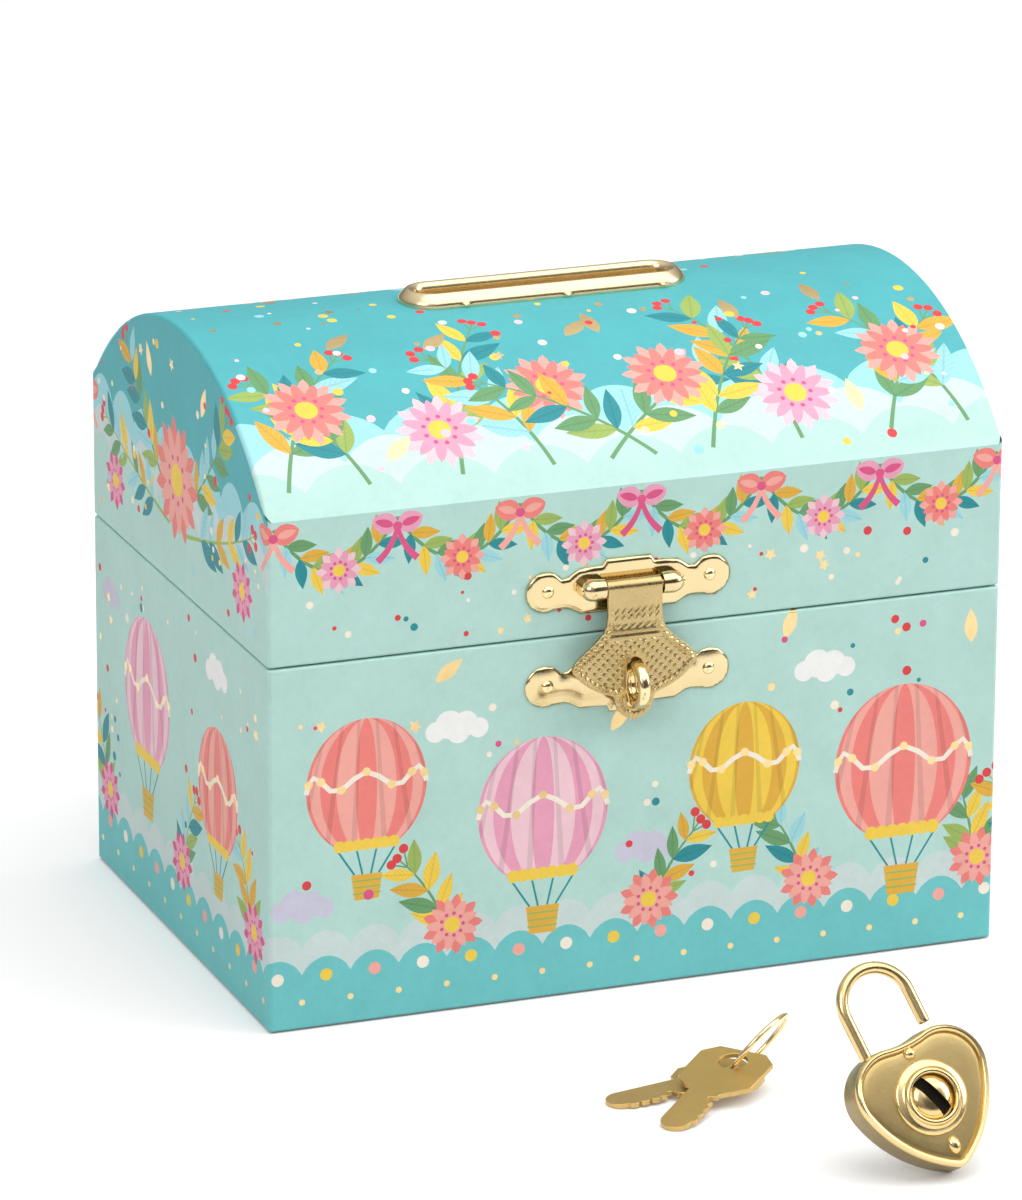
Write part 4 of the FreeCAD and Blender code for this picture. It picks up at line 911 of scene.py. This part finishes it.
def ear(name, hand):
    """Half rounds about the pin's line, run back to the plate. They bulge from a flat inner end
    and close at the outer end."""
    t = np.concatenate([[0], np.linspace(0, 1, 19)])
    swell = np.sqrt(1 - np.clip((t - 0.4) / 0.6, 0, 1) ** 2.4) * (0.94 + 0.06 * np.sin(np.pi * t))
    swell[0] = 0
    turn = np.linspace(-np.pi / 2, np.pi / 2, 25)
    y = PIN_Y - EAR_ROUND * np.outer(swell, np.cos(turn))
    z = PIN_Z + EAR_ROUND * np.outer(swell, np.sin(turn))
    back = np.full((len(t), 1), PLATE_FRONT + 0.3)
    y = np.concatenate([back, y, back], 1)
    z = np.concatenate([z[:, :1], z, z[:, -1:]], 1)
    x = HASP_X + hand * np.broadcast_to((EAR_START + EAR_LENGTH * t)[:, None], y.shape)
    return skin(name, np.stack([x, y, z], -1))


hasp_plating = brass("hasp_plating", (0.76, 0.62, 0.36), (0.69, 0.53, 0.27), 0.06, 0.14, 0.00002)
hasp_plate = stamped_plate("hasp_plate_stamped", PIN_Z, HASP_HEEL, 0.8, 2.0, WINDOW)
fit(hasp_plate, "lid", "plated_brass", hasp_plating, "hasp_plate")
for side, hand in SIDES:
    fit(ear(f"hasp_ear_{side}", hand), "lid", "plated_brass", hasp_plating)
staple_plate = stamped_plate("staple_plate_stamped", STAPLE_Z, STAPLE_HEEL, 2.4, 1.5)
fit(staple_plate, "box", "plated_brass", hasp_plating, "staple_plate")

# Round-headed nails of the same plated brass are driven through the lobes into the board. The
# staple is a thick round eye on a short stem, whose foot spreads on its plate.
NAIL_HEAD = (
    (0, 0.62), (0.3, 0.6), (0.62, 0.5), (0.88, 0.32), (1.04, 0.1), (1.08, 0.0), (1.08, -0.2), (0, -0.2),
)
NAIL_X = 14.3
EYE_Y = (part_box("staple")[0].y / MM) + 4.0
EYE_Z = (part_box("staple")[0].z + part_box("staple")[1].z) / 2 / MM
EYE_ROUND, EYE_WALL, EYE_HALF_WIDTH, EYE_SOFT = 3.1, 0.9, 1.0, 0.75
STEM = ((0, -0.3), (1.75, -0.3), (1.75, 0.15), (1.35, 0.4), (1.05, 0.75), (0.95, 1.3), (0, 1.3))


def spun(section, count=40):
    """A section of radius and height, turned about its height: flat places and heights."""
    radius, height = np.array(section).T
    flat = np.multiply.outer(radius, np.exp(2j * np.pi * np.arange(count) / count))
    return flat, np.broadcast_to(height[:, None], flat.shape)


def on_front(flat, height, x, z):
    """Flat places and heights stood on a plate's face, about a point of it."""
    return np.stack([x + flat.real, PLATE_FRONT - height, z + flat.imag], -1)


def eye_ring():
    """A soft-cornered section carried round a circle that lies across the front."""
    turn, section = np.meshgrid(np.arange(72) * np.pi / 36, np.arange(28) * np.pi / 14, indexing="ij")
    c, s = np.cos(section), np.sin(section)
    x = EYE_HALF_WIDTH * np.sign(c) * np.abs(c) ** EYE_SOFT
    away = EYE_ROUND + EYE_WALL * np.sign(s) * np.abs(s) ** EYE_SOFT
    return np.stack([HASP_X + x, EYE_Y - away * np.cos(turn), EYE_Z + away * np.sin(turn)], -1)


for name, body, level, node in (
    ("hasp_nail", "lid", PIN_Z, "hasp_plate_nails"),
    ("staple_nail", "box", STAPLE_Z, "staple_plate_nails"),
):
    for side, hand in SIDES:
        head = on_front(*spun(NAIL_HEAD), HASP_X + hand * NAIL_X, level)
        replaced = (node,) if hand < 0 else ()
        fit(skin(f"{name}_{side}", head), body, "plated_brass", plating, *replaced)
fit(skin("staple_eye", eye_ring(), loops=(True, True)), "box", "plated_brass", plating, "staple")
fit(skin("staple_stem", on_front(*spun(STEM), HASP_X, EYE_Z)), "box", "plated_brass", plating)

# The flap is a plated brass sheet rolled round the pin and stamped to a shield with a tongue.
# It is pressed with zigzags, slashes, a fan of beads and a rope along its edge, and slotted.
KNUCKLE, FLAP_SHEET = 1.5, 0.65
FLAP_LENGTH = PIN_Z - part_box("hasp_flap")[0].z / MM
SHIELD = np.array([
    (0, 4.75), (4.6, 4.75), (6.0, 4.95), (7.4, 5.6), (8.8, 6.9), (10.2, 8.6), (11.4, 10.1), (12.2, 10.75),
    (13.0, 11.0), (13.8, 10.8), (14.6, 10.1), (15.6, 9.0), (16.5, 7.8), (17.2, 6.6), (17.7, 5.5),
    (18.0, 4.6), (18.3, 3.9), (18.7, 3.5), (19.3, 3.4), (20.2, 3.2), (21.0, 2.8), (21.7, 2.15),
    (22.3, 1.2), (22.6, 0.25),
])
SLOT_HALF, SLOT_REACH, SLOT_DROP = 1.45, 4.45, PIN_Z - EYE_Z
CURL_ROWS, SHIELD_ROWS = 35, 194
NECK_HALF, ZIGZAGS, ZIGZAG_PITCH = 4.2, (3.6, 4.6), 1.2
SLASH_DROP, SLASH_PITCH = 6.2, 1.35
FAN_DROP, FAN_TURN, FAN_ALONG, FAN_ACROSS = 8.8, math.radians(42), 1.05, 1.3
ROPE_DROP, ROPE_IN, ROPE_PITCH = 5.6, 0.75, 1.2


def shield_relief(x, drop, edge, run):
    """Height pressed out at a place, from its drop, its distance in from the edge and its run
    along it: each mark is a smooth hump or dent about its own line."""
    neck = np.abs(x) < NECK_HALF
    height = np.zeros_like(x)
    for level in ZIGZAGS:
        zigzag = level + 0.34 * (np.abs((x / ZIGZAG_PITCH) % 1 - 0.5) * 4 - 1)
        height -= 0.13 * hump(drop - zigzag, 0.17) * neck
    lean = (x + 1.3 * (drop - SLASH_DROP)) / SLASH_PITCH
    slash = hump((lean % 1 - 0.5) * SLASH_PITCH, 0.3) * hump(drop - SLASH_DROP, 0.42)
    height -= 0.2 * slash * neck
    bars = 0.16 * hump(drop - 7.2, 0.2) - 0.08 * hump(drop - 7.6, 0.2) + 0.1 * hump(drop - 8.2, 0.2)
    height += bars * (edge > 1.3)
    c, s = math.cos(FAN_TURN), math.sin(FAN_TURN)
    along = (c * np.abs(x) + s * (drop - FAN_DROP)) / FAN_ALONG
    across = (c * (drop - FAN_DROP) - s * np.abs(x)) / FAN_ACROSS
    bead = np.hypot((along % 1 - 0.5) * FAN_ALONG, (across % 1 - 0.5) * FAN_ACROSS)
    past = np.maximum(np.abs(drop - SLOT_DROP) - SLOT_REACH, 0)
    clear = np.hypot(np.maximum(np.abs(x) - SLOT_HALF, 0), past)
    height += 0.26 * hump(bead, 0.32) * (drop > FAN_DROP) * (edge > 1.45) * (clear > 0.55)
    twist = 0.6 + 0.4 * np.sin(2 * np.pi * (run + 0.8 * edge) / ROPE_PITCH)
    rope = hump(edge - ROPE_IN, 0.36) * twist * np.clip((FLAP_LENGTH - 0.3 - drop) / 1.2, 0, 1)
    return height + (0.32 * rope - 0.07 * hump(edge - 1.35, 0.2)) * (drop > ROPE_DROP)


def rolled_flap(name):
    """Rows go round the pin and then down the shield, columns across it, gathered at the slot's
    sides. The relief lifts the flat part, and the slot's own faces are left out."""
    curl = np.radians(np.linspace(-235, 0, CURL_ROWS + 1))[:-1]
    drop = np.concatenate([np.zeros(CURL_ROWS), np.linspace(0, FLAP_LENGTH, SHIELD_ROWS)])
    half = np.interp(drop, SHIELD[:, 0] * FLAP_LENGTH / SHIELD[-1, 0], SHIELD[:, 1])
    slot = np.minimum(SLOT_HALF, 0.45 * half)[:, None]
    near = slot * np.linspace(0, 1, 13)
    far = slot + (half[:, None] - slot) * np.linspace(0, 1, 64)[1:]
    right = np.concatenate([near, far], 1)
    x = np.concatenate([-right[:, :0:-1], right], 1)
    front = PIN_Y - KNUCKLE * np.concatenate([np.cos(curl), np.ones(SHIELD_ROWS)])
    height = PIN_Z - np.concatenate([KNUCKLE * np.sin(curl), drop[CURL_ROWS:]])
    rim = np.stack([half, drop], 1)[CURL_ROWS:]
    length = np.concatenate([[0], np.hypot(*np.diff(rim, axis=0).T).cumsum()])
    flat_x = x[CURL_ROWS:]
    flat_drop = np.broadcast_to(rim[:, 1:], flat_x.shape)
    away = np.hypot(np.abs(flat_x)[..., None] - rim[:, 0], flat_drop[..., None] - rim[:, 1])
    lift = np.zeros(x.shape)
    lift[CURL_ROWS:] = shield_relief(flat_x, flat_drop, away.min(-1), length[away.argmin(-1)])
    grid = np.stack(np.broadcast_arrays(HASP_X + x, front[:, None] - lift, height[:, None]), -1)
    middle_x = (x[:-1, :-1] + x[1:, 1:]) / 2
    middle_drop = ((drop[:-1] + drop[1:]) / 2)[:, None]
    beyond = np.maximum(np.abs(middle_drop - SLOT_DROP) - (SLOT_REACH - SLOT_HALF), 0)
    stays = (np.hypot(middle_x, beyond) > SLOT_HALF) | (middle_drop < 1)
    faces = cells(x.shape, (False, False))[stays]
    return thickened(weld(name, grid.reshape(-1, 3) * MM, faces, sealed=False), FLAP_SHEET)


pressed = brass("pressed_plating", (0.58, 0.45, 0.22), (0.45, 0.33, 0.145), 0.16, 0.24, 0.00005)
fit(rolled_flap("hasp_flap_stamped"), "hasp_flap", "plated_brass", pressed, "hasp_flap")
dress(plating, "hasp_pin")

# Two butt hinges of the same plated brass join the lid to the box at the back. Each is two
# leaves rolled round a pin and nailed down with brads, and keeps the shape of its solids.
for side, _ in SIDES:
    dress(plating, f"hinge_box_leaf_{side}", f"hinge_lid_leaf_{side}", f"hinge_pin_{side}")
dress(plating, "hinge_box_brads", "hinge_lid_brads")

# The padlock's case is a deep-drawn brass heart. Its rim is rolled over a pressed satin face,
# which carries a collar and two crimps. A hole in its wall takes the shackle's toe.
LOCK_AT = np.array(joints["plug_turn"]["pos_m"]) / MM
LOCK_FRONT = -np.array(joints["plug_turn"]["axis"])
LOCK_RIGHT = np.array(joints["latch_slide"]["axis"])
LOCK_UP = np.array(joints["shackle_slide"]["axis"])
HEART_LOBE, HEART_LOBE_AT = 6.85, 4.8 + 3.1j
HEART_SIDE, HEART_HOLLOW = 21.0, 9.5
HEART_TIP, HEART_TIP_AT = 1.9, -10.0j
CASE_SECTION = (
    (0.75, -3.2), (0.4, -3.12), (0.12, -2.88), (0.0, -2.5), (0.0, 2.35), (0.06, 2.72), (0.25, 3.02),
    (0.52, 3.18), (0.82, 3.14), (1.06, 2.92), (1.2, 2.5), (1.24, 2.1),
)
CASE_RIM, CASE_WALL = 2.3, 4
SHACKLE_HALF = 5.85
TOE_HOLE, TOE_LIP, TOE_PATCH, TOE_STEPS = 1.3, 0.6, 2.2, 32
FACE_INSET, FACE_BACK, FACE_FRONT = 1.08, 1.9, 2.78
FACE_SECTION = ((1.0, 1.9), (1.0, 2.38), (0.985, 2.52), (0.955, 2.6), (0.9, 2.66), (0.75, 2.72), (0.5, 2.76))
COLLAR_SECTION = (
    (3.68, 2.5), (6.1, 2.5), (6.1, 2.86), (5.98, 3.08), (5.7, 3.24), (5.2, 3.36), (4.82, 3.5), (4.66, 3.72),
    (4.56, 3.98), (4.4, 4.14), (4.18, 4.2), (3.92, 4.18), (3.76, 4.06), (3.68, 3.86),
)
CRIMP_HEAD = ((0, 0.72), (0.35, 0.68), (0.66, 0.54), (0.88, 0.3), (1.02, 0.05), (1.06, -0.2), (0, -0.2))
CRIMP_SEAT = 2.68


def heart_edge(inset):
    """A heart from arcs that run on into each other: a round tip, a bulged side, a lobe and a
    hollow, mirrored. An inset draws every arc in by the same distance."""
    hollow = (abs(HEART_LOBE_AT) ** 2 - (HEART_HOLLOW - HEART_LOBE) ** 2) / 2
    hollow_at = 1j * hollow / (HEART_LOBE_AT.imag + HEART_LOBE - HEART_HOLLOW)
    fall = HEART_TIP_AT - HEART_LOBE_AT
    span = abs(fall)
    along = ((HEART_SIDE - HEART_LOBE) ** 2 - (HEART_SIDE - HEART_TIP) ** 2 + span**2) / (2 * span)
    aside = math.sqrt((HEART_SIDE - HEART_LOBE) ** 2 - along**2)
    side_at = HEART_LOBE_AT + fall / span * (along - 1j * aside)
    low, high = np.angle(HEART_TIP_AT - side_at), np.angle(HEART_LOBE_AT - side_at)
    over = np.angle(hollow_at - HEART_LOBE_AT)
    arcs = (
        (HEART_TIP_AT, HEART_TIP - inset, -np.pi / 2, low, 9),
        (side_at, HEART_SIDE - inset, low, high, 30),
        (HEART_LOBE_AT, HEART_LOBE - inset, high, over, 34),
        (hollow_at, abs(hollow_at) - HEART_HOLLOW + inset, over - np.pi, -np.pi / 2, 9),
    )
    half = np.concatenate([
        at + radius * np.exp(1j * np.linspace(start, end, count, endpoint=False))
        for at, radius, start, end, count in arcs
    ])
    top = arcs[-1][0] - 1j * arcs[-1][1]
    return np.concatenate([half, [top], -half[:0:-1].conj()])


def in_lock(flat, height):
    """Flat places on the lock's face and heights in front of its middle, as points in the room."""
    height = np.broadcast_to(height, flat.shape)
    ways = ((flat.real, LOCK_RIGHT), (flat.imag, LOCK_UP), (height, LOCK_FRONT))
    return LOCK_AT + sum(np.multiply.outer(amount, way) for amount, way in ways)


def pierced_case(name, rims, levels):
    """The rims in turn, joined round. In the wall over the toe a patch is cut to triangles in x and
    level, laid on the lobe, with a round hole left out and a lip turned in round it."""

    def on_lobe(spot, sunk=0.0):
        """Places of x and level on the lobe's arc, or sunk below it."""
        rise = np.sqrt(HEART_LOBE**2 - (spot.real - HEART_LOBE_AT.real) ** 2)
        return in_lock(spot.real + 1j * (HEART_LOBE_AT.imag + rise - sunk), spot.imag)

    quads = cells(rims.shape, (False, True))
    edge = rims[CASE_WALL]
    columns = np.flatnonzero((np.abs(edge.real - SHACKLE_HALF) < TOE_PATCH) & (edge.imag > 5))
    kept = np.ones(quads.shape[:2], bool)
    kept[CASE_WALL, columns[:-1]] = False
    foot, head = (edge.real[columns] + 1j * levels[CASE_WALL + step] for step in (0, 1))
    turn = np.arange(TOE_STEPS)
    ring = SHACKLE_HALF + TOE_HOLE * np.exp(2j * np.pi * turn / TOE_STEPS)
    loops = (np.concatenate([foot, head[::-1]]), ring)
    flat, patch = cut_flat([np.stack([loop.real, loop.imag], 1) for loop in loops], merge=1e-6)
    spots = flat[:, 0] + 1j * flat[:, 1]
    patch = patch[np.abs(spots[patch].mean(1) - SHACKLE_HALF) > TOE_HOLE]
    ahead = (turn + 1) % TOE_STEPS
    lip = np.stack([turn, ahead, ahead + TOE_STEPS, turn + TOE_STEPS], 1)
    wall = in_lock(rims, levels[:, None]).reshape(-1, 3)
    points = [wall, on_lobe(spots), on_lobe(ring), on_lobe(ring, TOE_LIP)]
    faces = [*quads[kept], *(patch + len(wall)), *(lip + len(wall) + len(spots))]
    return weld(name, np.concatenate(points) * MM, faces)


def second_finish(piece, finish, chosen):
    """Give another finish to the faces that are chosen by their middles' places in the lock."""
    piece.data.materials.append(finish.material)
    middle = np.empty((len(piece.data.polygons), 3))
    piece.data.polygons.foreach_get("center", middle.ravel())
    picked = chosen(middle / MM - LOCK_AT)
    piece.data.polygons.foreach_set("material_index", picked.astype(np.int32))


lock_brass = brass("lock_brass", (0.83, 0.64, 0.32), (0.74, 0.55, 0.25), 0.12, 0.16, 0.00002)
lock_satin = brass("lock_satin", (0.58, 0.44, 0.20), (0.50, 0.36, 0.145), 0.24, 0.2, 0.00003)
# The case's side wall is the same brass, made rougher and darkened as painted shade.
lock_side_painted_shade = brass("lock_side_painted_shade", (0.40, 0.30, 0.145), (0.31, 0.23, 0.10), 0.28, 0.2, 0.00003)
rims = [heart_edge(inset) for inset, _ in CASE_SECTION]
rims = np.array([rims[0] * 0, *rims, rims[-1] * 0])
levels = np.array([CASE_SECTION[0][1], *(level for _, level in CASE_SECTION), CASE_SECTION[-1][1]])
lock_case = pierced_case("lock_case", rims, levels)
fit(lock_case, "padlock", "padlock_brass", lock_brass, "padlock_case")
second_finish(lock_case, lock_side_painted_shade, lambda away: away @ LOCK_FRONT < CASE_RIM)
shares, levels = np.array([(0, FACE_BACK), *FACE_SECTION, (0, FACE_FRONT)]).T
face = in_lock(np.multiply.outer(shares, heart_edge(FACE_INSET)), levels[:, None])
fit(skin("lock_face", face), "padlock", "padlock_brass", lock_satin, "padlock_face")
collar = skin("lock_collar", in_lock(*spun(COLLAR_SECTION, 72)), loops=(True, True))
fit(collar, "padlock", "padlock_brass", lock_brass, "padlock_collar")
for place, up, stretch in (("top", 7.6, 1.0), ("foot", -8.2, 1.5)):
    flat, height = spun(CRIMP_HEAD, 32)
    replaced = ("padlock_rivets",) if place == "top" else ()
    crimp = in_lock(flat.real + 1j * (up + stretch * flat.imag), CRIMP_SEAT + height)
    fit(skin(f"lock_crimp_{place}", crimp), "padlock", "padlock_brass", lock_brass, *replaced)

# The plug is a domed brass button that turns in the collar. A keyway is cut across it, and its
# inside is painted near-black as painted shade.
PLUG_ROUND, PLUG_FRONT, PLUG_DROP = 3.45, 4.3, 0.95
KEYWAY_HALF, KEYWAY_FLOOR, KEYWAY_BRINK = 1.0, 2.9, 0.3
PLUG_TURN = math.radians(21)
PLUG_SIDE = 20


def keyed_plug():
    """A shallow dome over a disc. Columns that lie in the keyway drop to its floor."""
    side = np.linspace(KEYWAY_HALF, PLUG_ROUND, PLUG_SIDE)
    across = np.concatenate([-side[::-1], np.linspace(-KEYWAY_HALF, KEYWAY_HALF, 5), side])
    reach = np.sqrt(np.maximum(PLUG_ROUND**2 - across**2, 0))[:, None]
    share = np.concatenate([[-1], np.linspace(-1, 1, 41), [1]])
    flat = across[:, None] + 1j * reach * share
    height = PLUG_FRONT - PLUG_DROP * (np.abs(flat) / PLUG_ROUND) ** 3.5
    height[PLUG_SIDE:-PLUG_SIDE] = KEYWAY_FLOOR
    height[:, [0, -1]] = 0.0
    return in_lock(flat * np.exp(1j * PLUG_TURN), height)


def in_keyway(away):
    """Whether places lie between the keyway's walls and below its brink."""
    slant = away @ (LOCK_RIGHT * math.cos(PLUG_TURN) + LOCK_UP * math.sin(PLUG_TURN))
    return (np.abs(slant) < KEYWAY_HALF + 0.02) & (away @ LOCK_FRONT < PLUG_FRONT - KEYWAY_BRINK)


lock_plug = skin("lock_plug", keyed_plug(), loops=(False, False))
fit(lock_plug, "plug", "padlock_brass", lock_brass, "padlock_plug")
# Painted shade: the keyway's walls and floor get a near-black finish with a faint speckle, for the shade
# inside the slot.
keyway = Finish("keyway_shade", metallic=0.0, roughness=0.8, specular_ior_level=0.1)
keyway_shade_speckle = keyway.noise(1500.0, 4.0)
keyway.surface(base_color=keyway.blend(keyway_shade_speckle, (0.006, 0.005, 0.004), (0.03, 0.024, 0.014)))
keyway.bump(keyway_shade_speckle, 0.00003)
second_finish(lock_plug, keyway, in_keyway)

# The shackle is bent from round brass wire. Its heel stays in the case on a spring, and its toe
# is free and goes down through the hole in the case.
SHACKLE_WIRE, SHACKLE_BEND, SHACKLE_HEEL, SHACKLE_TOE = 1.0, 16.75, 2.8, 10.9
WIRE_END = ((0, 0), (0.7, 0), (0.92, 0.08), (1, 0.3))


def bent_wire():
    """A circle carried up the heel, round a half turn and down to the toe, with eased ends."""
    ease, lift = np.array(WIRE_END).T
    rise = np.linspace(SHACKLE_HEEL, SHACKLE_BEND, 18)[:-1]
    fall = np.linspace(SHACKLE_BEND, SHACKLE_TOE, 10)[1:]
    heel, toe = np.concatenate([rise[0] + lift, rise[1:]]), np.concatenate([fall[:-1], fall[-1] + lift[::-1]])
    bend = np.exp(1j * np.linspace(np.pi, 0, 41))
    arch = SHACKLE_HALF * bend + 1j * SHACKLE_BEND
    path = np.concatenate([-SHACKLE_HALF + 1j * heel, arch, SHACKLE_HALF + 1j * toe])
    out = np.concatenate([np.full(len(heel), -1.0), bend, np.full(len(toe), 1.0)])
    size = np.concatenate([ease, np.ones(len(path) - 2 * len(ease)), ease[::-1]])
    turn = np.arange(28) * np.pi / 14
    flat = path[:, None] + SHACKLE_WIRE * size[:, None] * out[:, None] * np.cos(turn)
    return in_lock(flat, SHACKLE_WIRE * size[:, None] * np.sin(turn))


fit(skin("lock_shackle", bent_wire()), "shackle", "padlock_brass", lock_brass, "padlock_shackle")

# Inside the case are a sliding steel latch, which the plug drives, and the spring under the
# shackle's heel. Both keep the shape of their solids.
STEEL_PALE, STEEL_DEEP = (0.60, 0.61, 0.62), (0.42, 0.43, 0.44)
steel = Finish("spring_steel", metallic=1.0)
drawn = steel.noise(1800.0, 4.0)
steel.surface(base_color=steel.blend(drawn, STEEL_DEEP, STEEL_PALE), roughness=0.22 + 0.2 * drawn)
steel.bump(drawn, 0.00002)
dress(steel, "padlock_latch", "shackle_spring")

# Two flat keys are stamped from brass sheet and left matt, with their edges eased. They hang
# on a ring of thin plated wire, which keeps the shape of its solid.
KEY_EASE = 0.12


def eased_copy(node, name):
    """A node's own shape with its loose triangles merged, its flats made whole and its edges eased."""
    work = bmesh.new()
    work.from_mesh(nodes[node].data)
    bmesh.ops.remove_doubles(work, verts=work.verts, dist=1e-6)
    bmesh.ops.dissolve_limit(work, angle_limit=math.radians(1), verts=work.verts, edges=work.edges)
    points = np.array([vertex.co for vertex in work.verts])
    work.verts.index_update()
    faces = [[corner.index for corner in face.verts] for face in work.faces]
    work.free()
    piece = weld(name, points, faces, sealed=False)
    ease = piece.modifiers.new("eased_edge", "BEVEL")
    ease.width, ease.segments, ease.limit_method = KEY_EASE * MM, 2, "ANGLE"
    return piece


key_brass = brass("key_brass", (0.68, 0.48, 0.19), (0.56, 0.38, 0.14), 0.32, 0.2, 0.00004)
for node in ("key_front", "key_rear"):
    fit(eased_copy(node, f"{node}_stamped"), node, "key_brass", key_brass, node)
dress(plating, "key_ring")

# The studio: a pale floor, a soft white surround with one darker patch, a broad lamp above, one
# at each side, and a camera where the picture was taken from.
FLOOR_HALF = 6.0
FLOOR_GLOW, FLOOR_PALE, FLOOR_DULL = 0.10, (0.90, 0.90, 0.90), (0.60, 0.60, 0.60)
floor_mesh = bpy.data.meshes.new("floor")
floor_corners = [(x * FLOOR_HALF, y * FLOOR_HALF, 0) for x, y in ((-1, -1), (1, -1), (1, 1), (-1, 1))]
floor_mesh.from_pydata(floor_corners, [], [(0, 1, 2, 3)])
floor = bpy.data.objects.new("floor", floor_mesh)
bpy.context.scene.collection.objects.link(floor)
floor_finish = Finish("pale_floor", roughness=0.95, emission_color=(1.0, 1.0, 1.0))
seeing = ("Camera", "Glossy", "Transmission")
seen = sum(floor_finish.node("LightPath", out=f"Is {ray} Ray") for ray in seeing)
floor_finish.surface(
    base_color=floor_finish.blend(seen, FLOOR_DULL, FLOOR_PALE), emission_strength=FLOOR_GLOW * seen
)
floor_mesh.materials.append(floor_finish.material)

SKY_RIM, SKY_RISE = 0.10, 0.90
SKY_SHADE, SKY_SHADE_AT, SKY_SHADE_EDGE = 0.85, (0.25, -0.88, 0.40), 0.89
SKY_SHADE_GAIN = 1 / (1 - SKY_SHADE_EDGE)
world = bpy.data.worlds.new("studio")
bpy.context.scene.world = world
world.use_nodes = True
sky = world.node_tree.nodes["Background"]
sky.inputs["Color"].default_value = (1.0, 1.0, 1.0, 1.0)
outward = world.node_tree.nodes.new("ShaderNodeTexCoord")
split = world.node_tree.nodes.new("ShaderNodeSeparateXYZ")
world.node_tree.links.new(outward.outputs["Generated"], split.inputs[0])
side, depth, height = (Field(world.node_tree, socket) for socket in split.outputs)
level = SKY_RIM + SKY_RISE * height.math("MAXIMUM", 0.0)
facing = sum(part * amount for part, amount in zip((side, depth, height), SKY_SHADE_AT))
shade = ((facing - SKY_SHADE_EDGE) * SKY_SHADE_GAIN).math("MAXIMUM", 0.0)
plug_in(world.node_tree, sky.inputs["Strength"], level * (1 - SKY_SHADE * shade.math("POWER", 0.5)))


def lamp(name, place, aim, size, power):
    """A square soft box at a place in metres, facing its aim."""
    light = bpy.data.lights.new(name, "AREA")
    light.size = size
    light.energy = power
    holder = bpy.data.objects.new(name, light)
    holder.location = place
    holder.rotation_euler = (Vector(aim) - Vector(place)).to_track_quat("-Z", "Y").to_euler()
    bpy.context.scene.collection.objects.link(holder)


CHEST_MIDDLE = (0.0, -0.02, 0.05)
lamp("top_soft_box", (0.25, -0.35, 1.1), CHEST_MIDDLE, 1.4, 8.6)
lamp("right_soft_box", (1.0, -0.45, 0.55), CHEST_MIDDLE, 0.6, 4.8)
lamp("left_soft_box", (-0.95, -0.75, 0.9), CHEST_MIDDLE, 0.7, 4.8)

CAMERA_PLACE = Vector((-0.4377, -1.1183, 0.4432))
CAMERA_AIM = Vector((-0.00525, 0.00006, 0.0546))
CAMERA_ROLL = math.radians(0.292)
CAMERA_LENS = 222.1
view = bpy.data.cameras.new("camera")
view.sensor_fit = "VERTICAL"
view.sensor_height = 36.0
view.lens = CAMERA_LENS
view.clip_start = 0.01
camera = bpy.data.objects.new("camera", view)
camera.matrix_world = (CAMERA_AIM - CAMERA_PLACE).to_track_quat("-Z", "Y").to_matrix().to_4x4()
camera.rotation_euler.rotate_axis("Z", CAMERA_ROLL)
camera.location = CAMERA_PLACE
bpy.context.scene.collection.objects.link(camera)
bpy.context.scene.camera = camera
bpy.context.scene.view_settings.view_transform = "Standard"
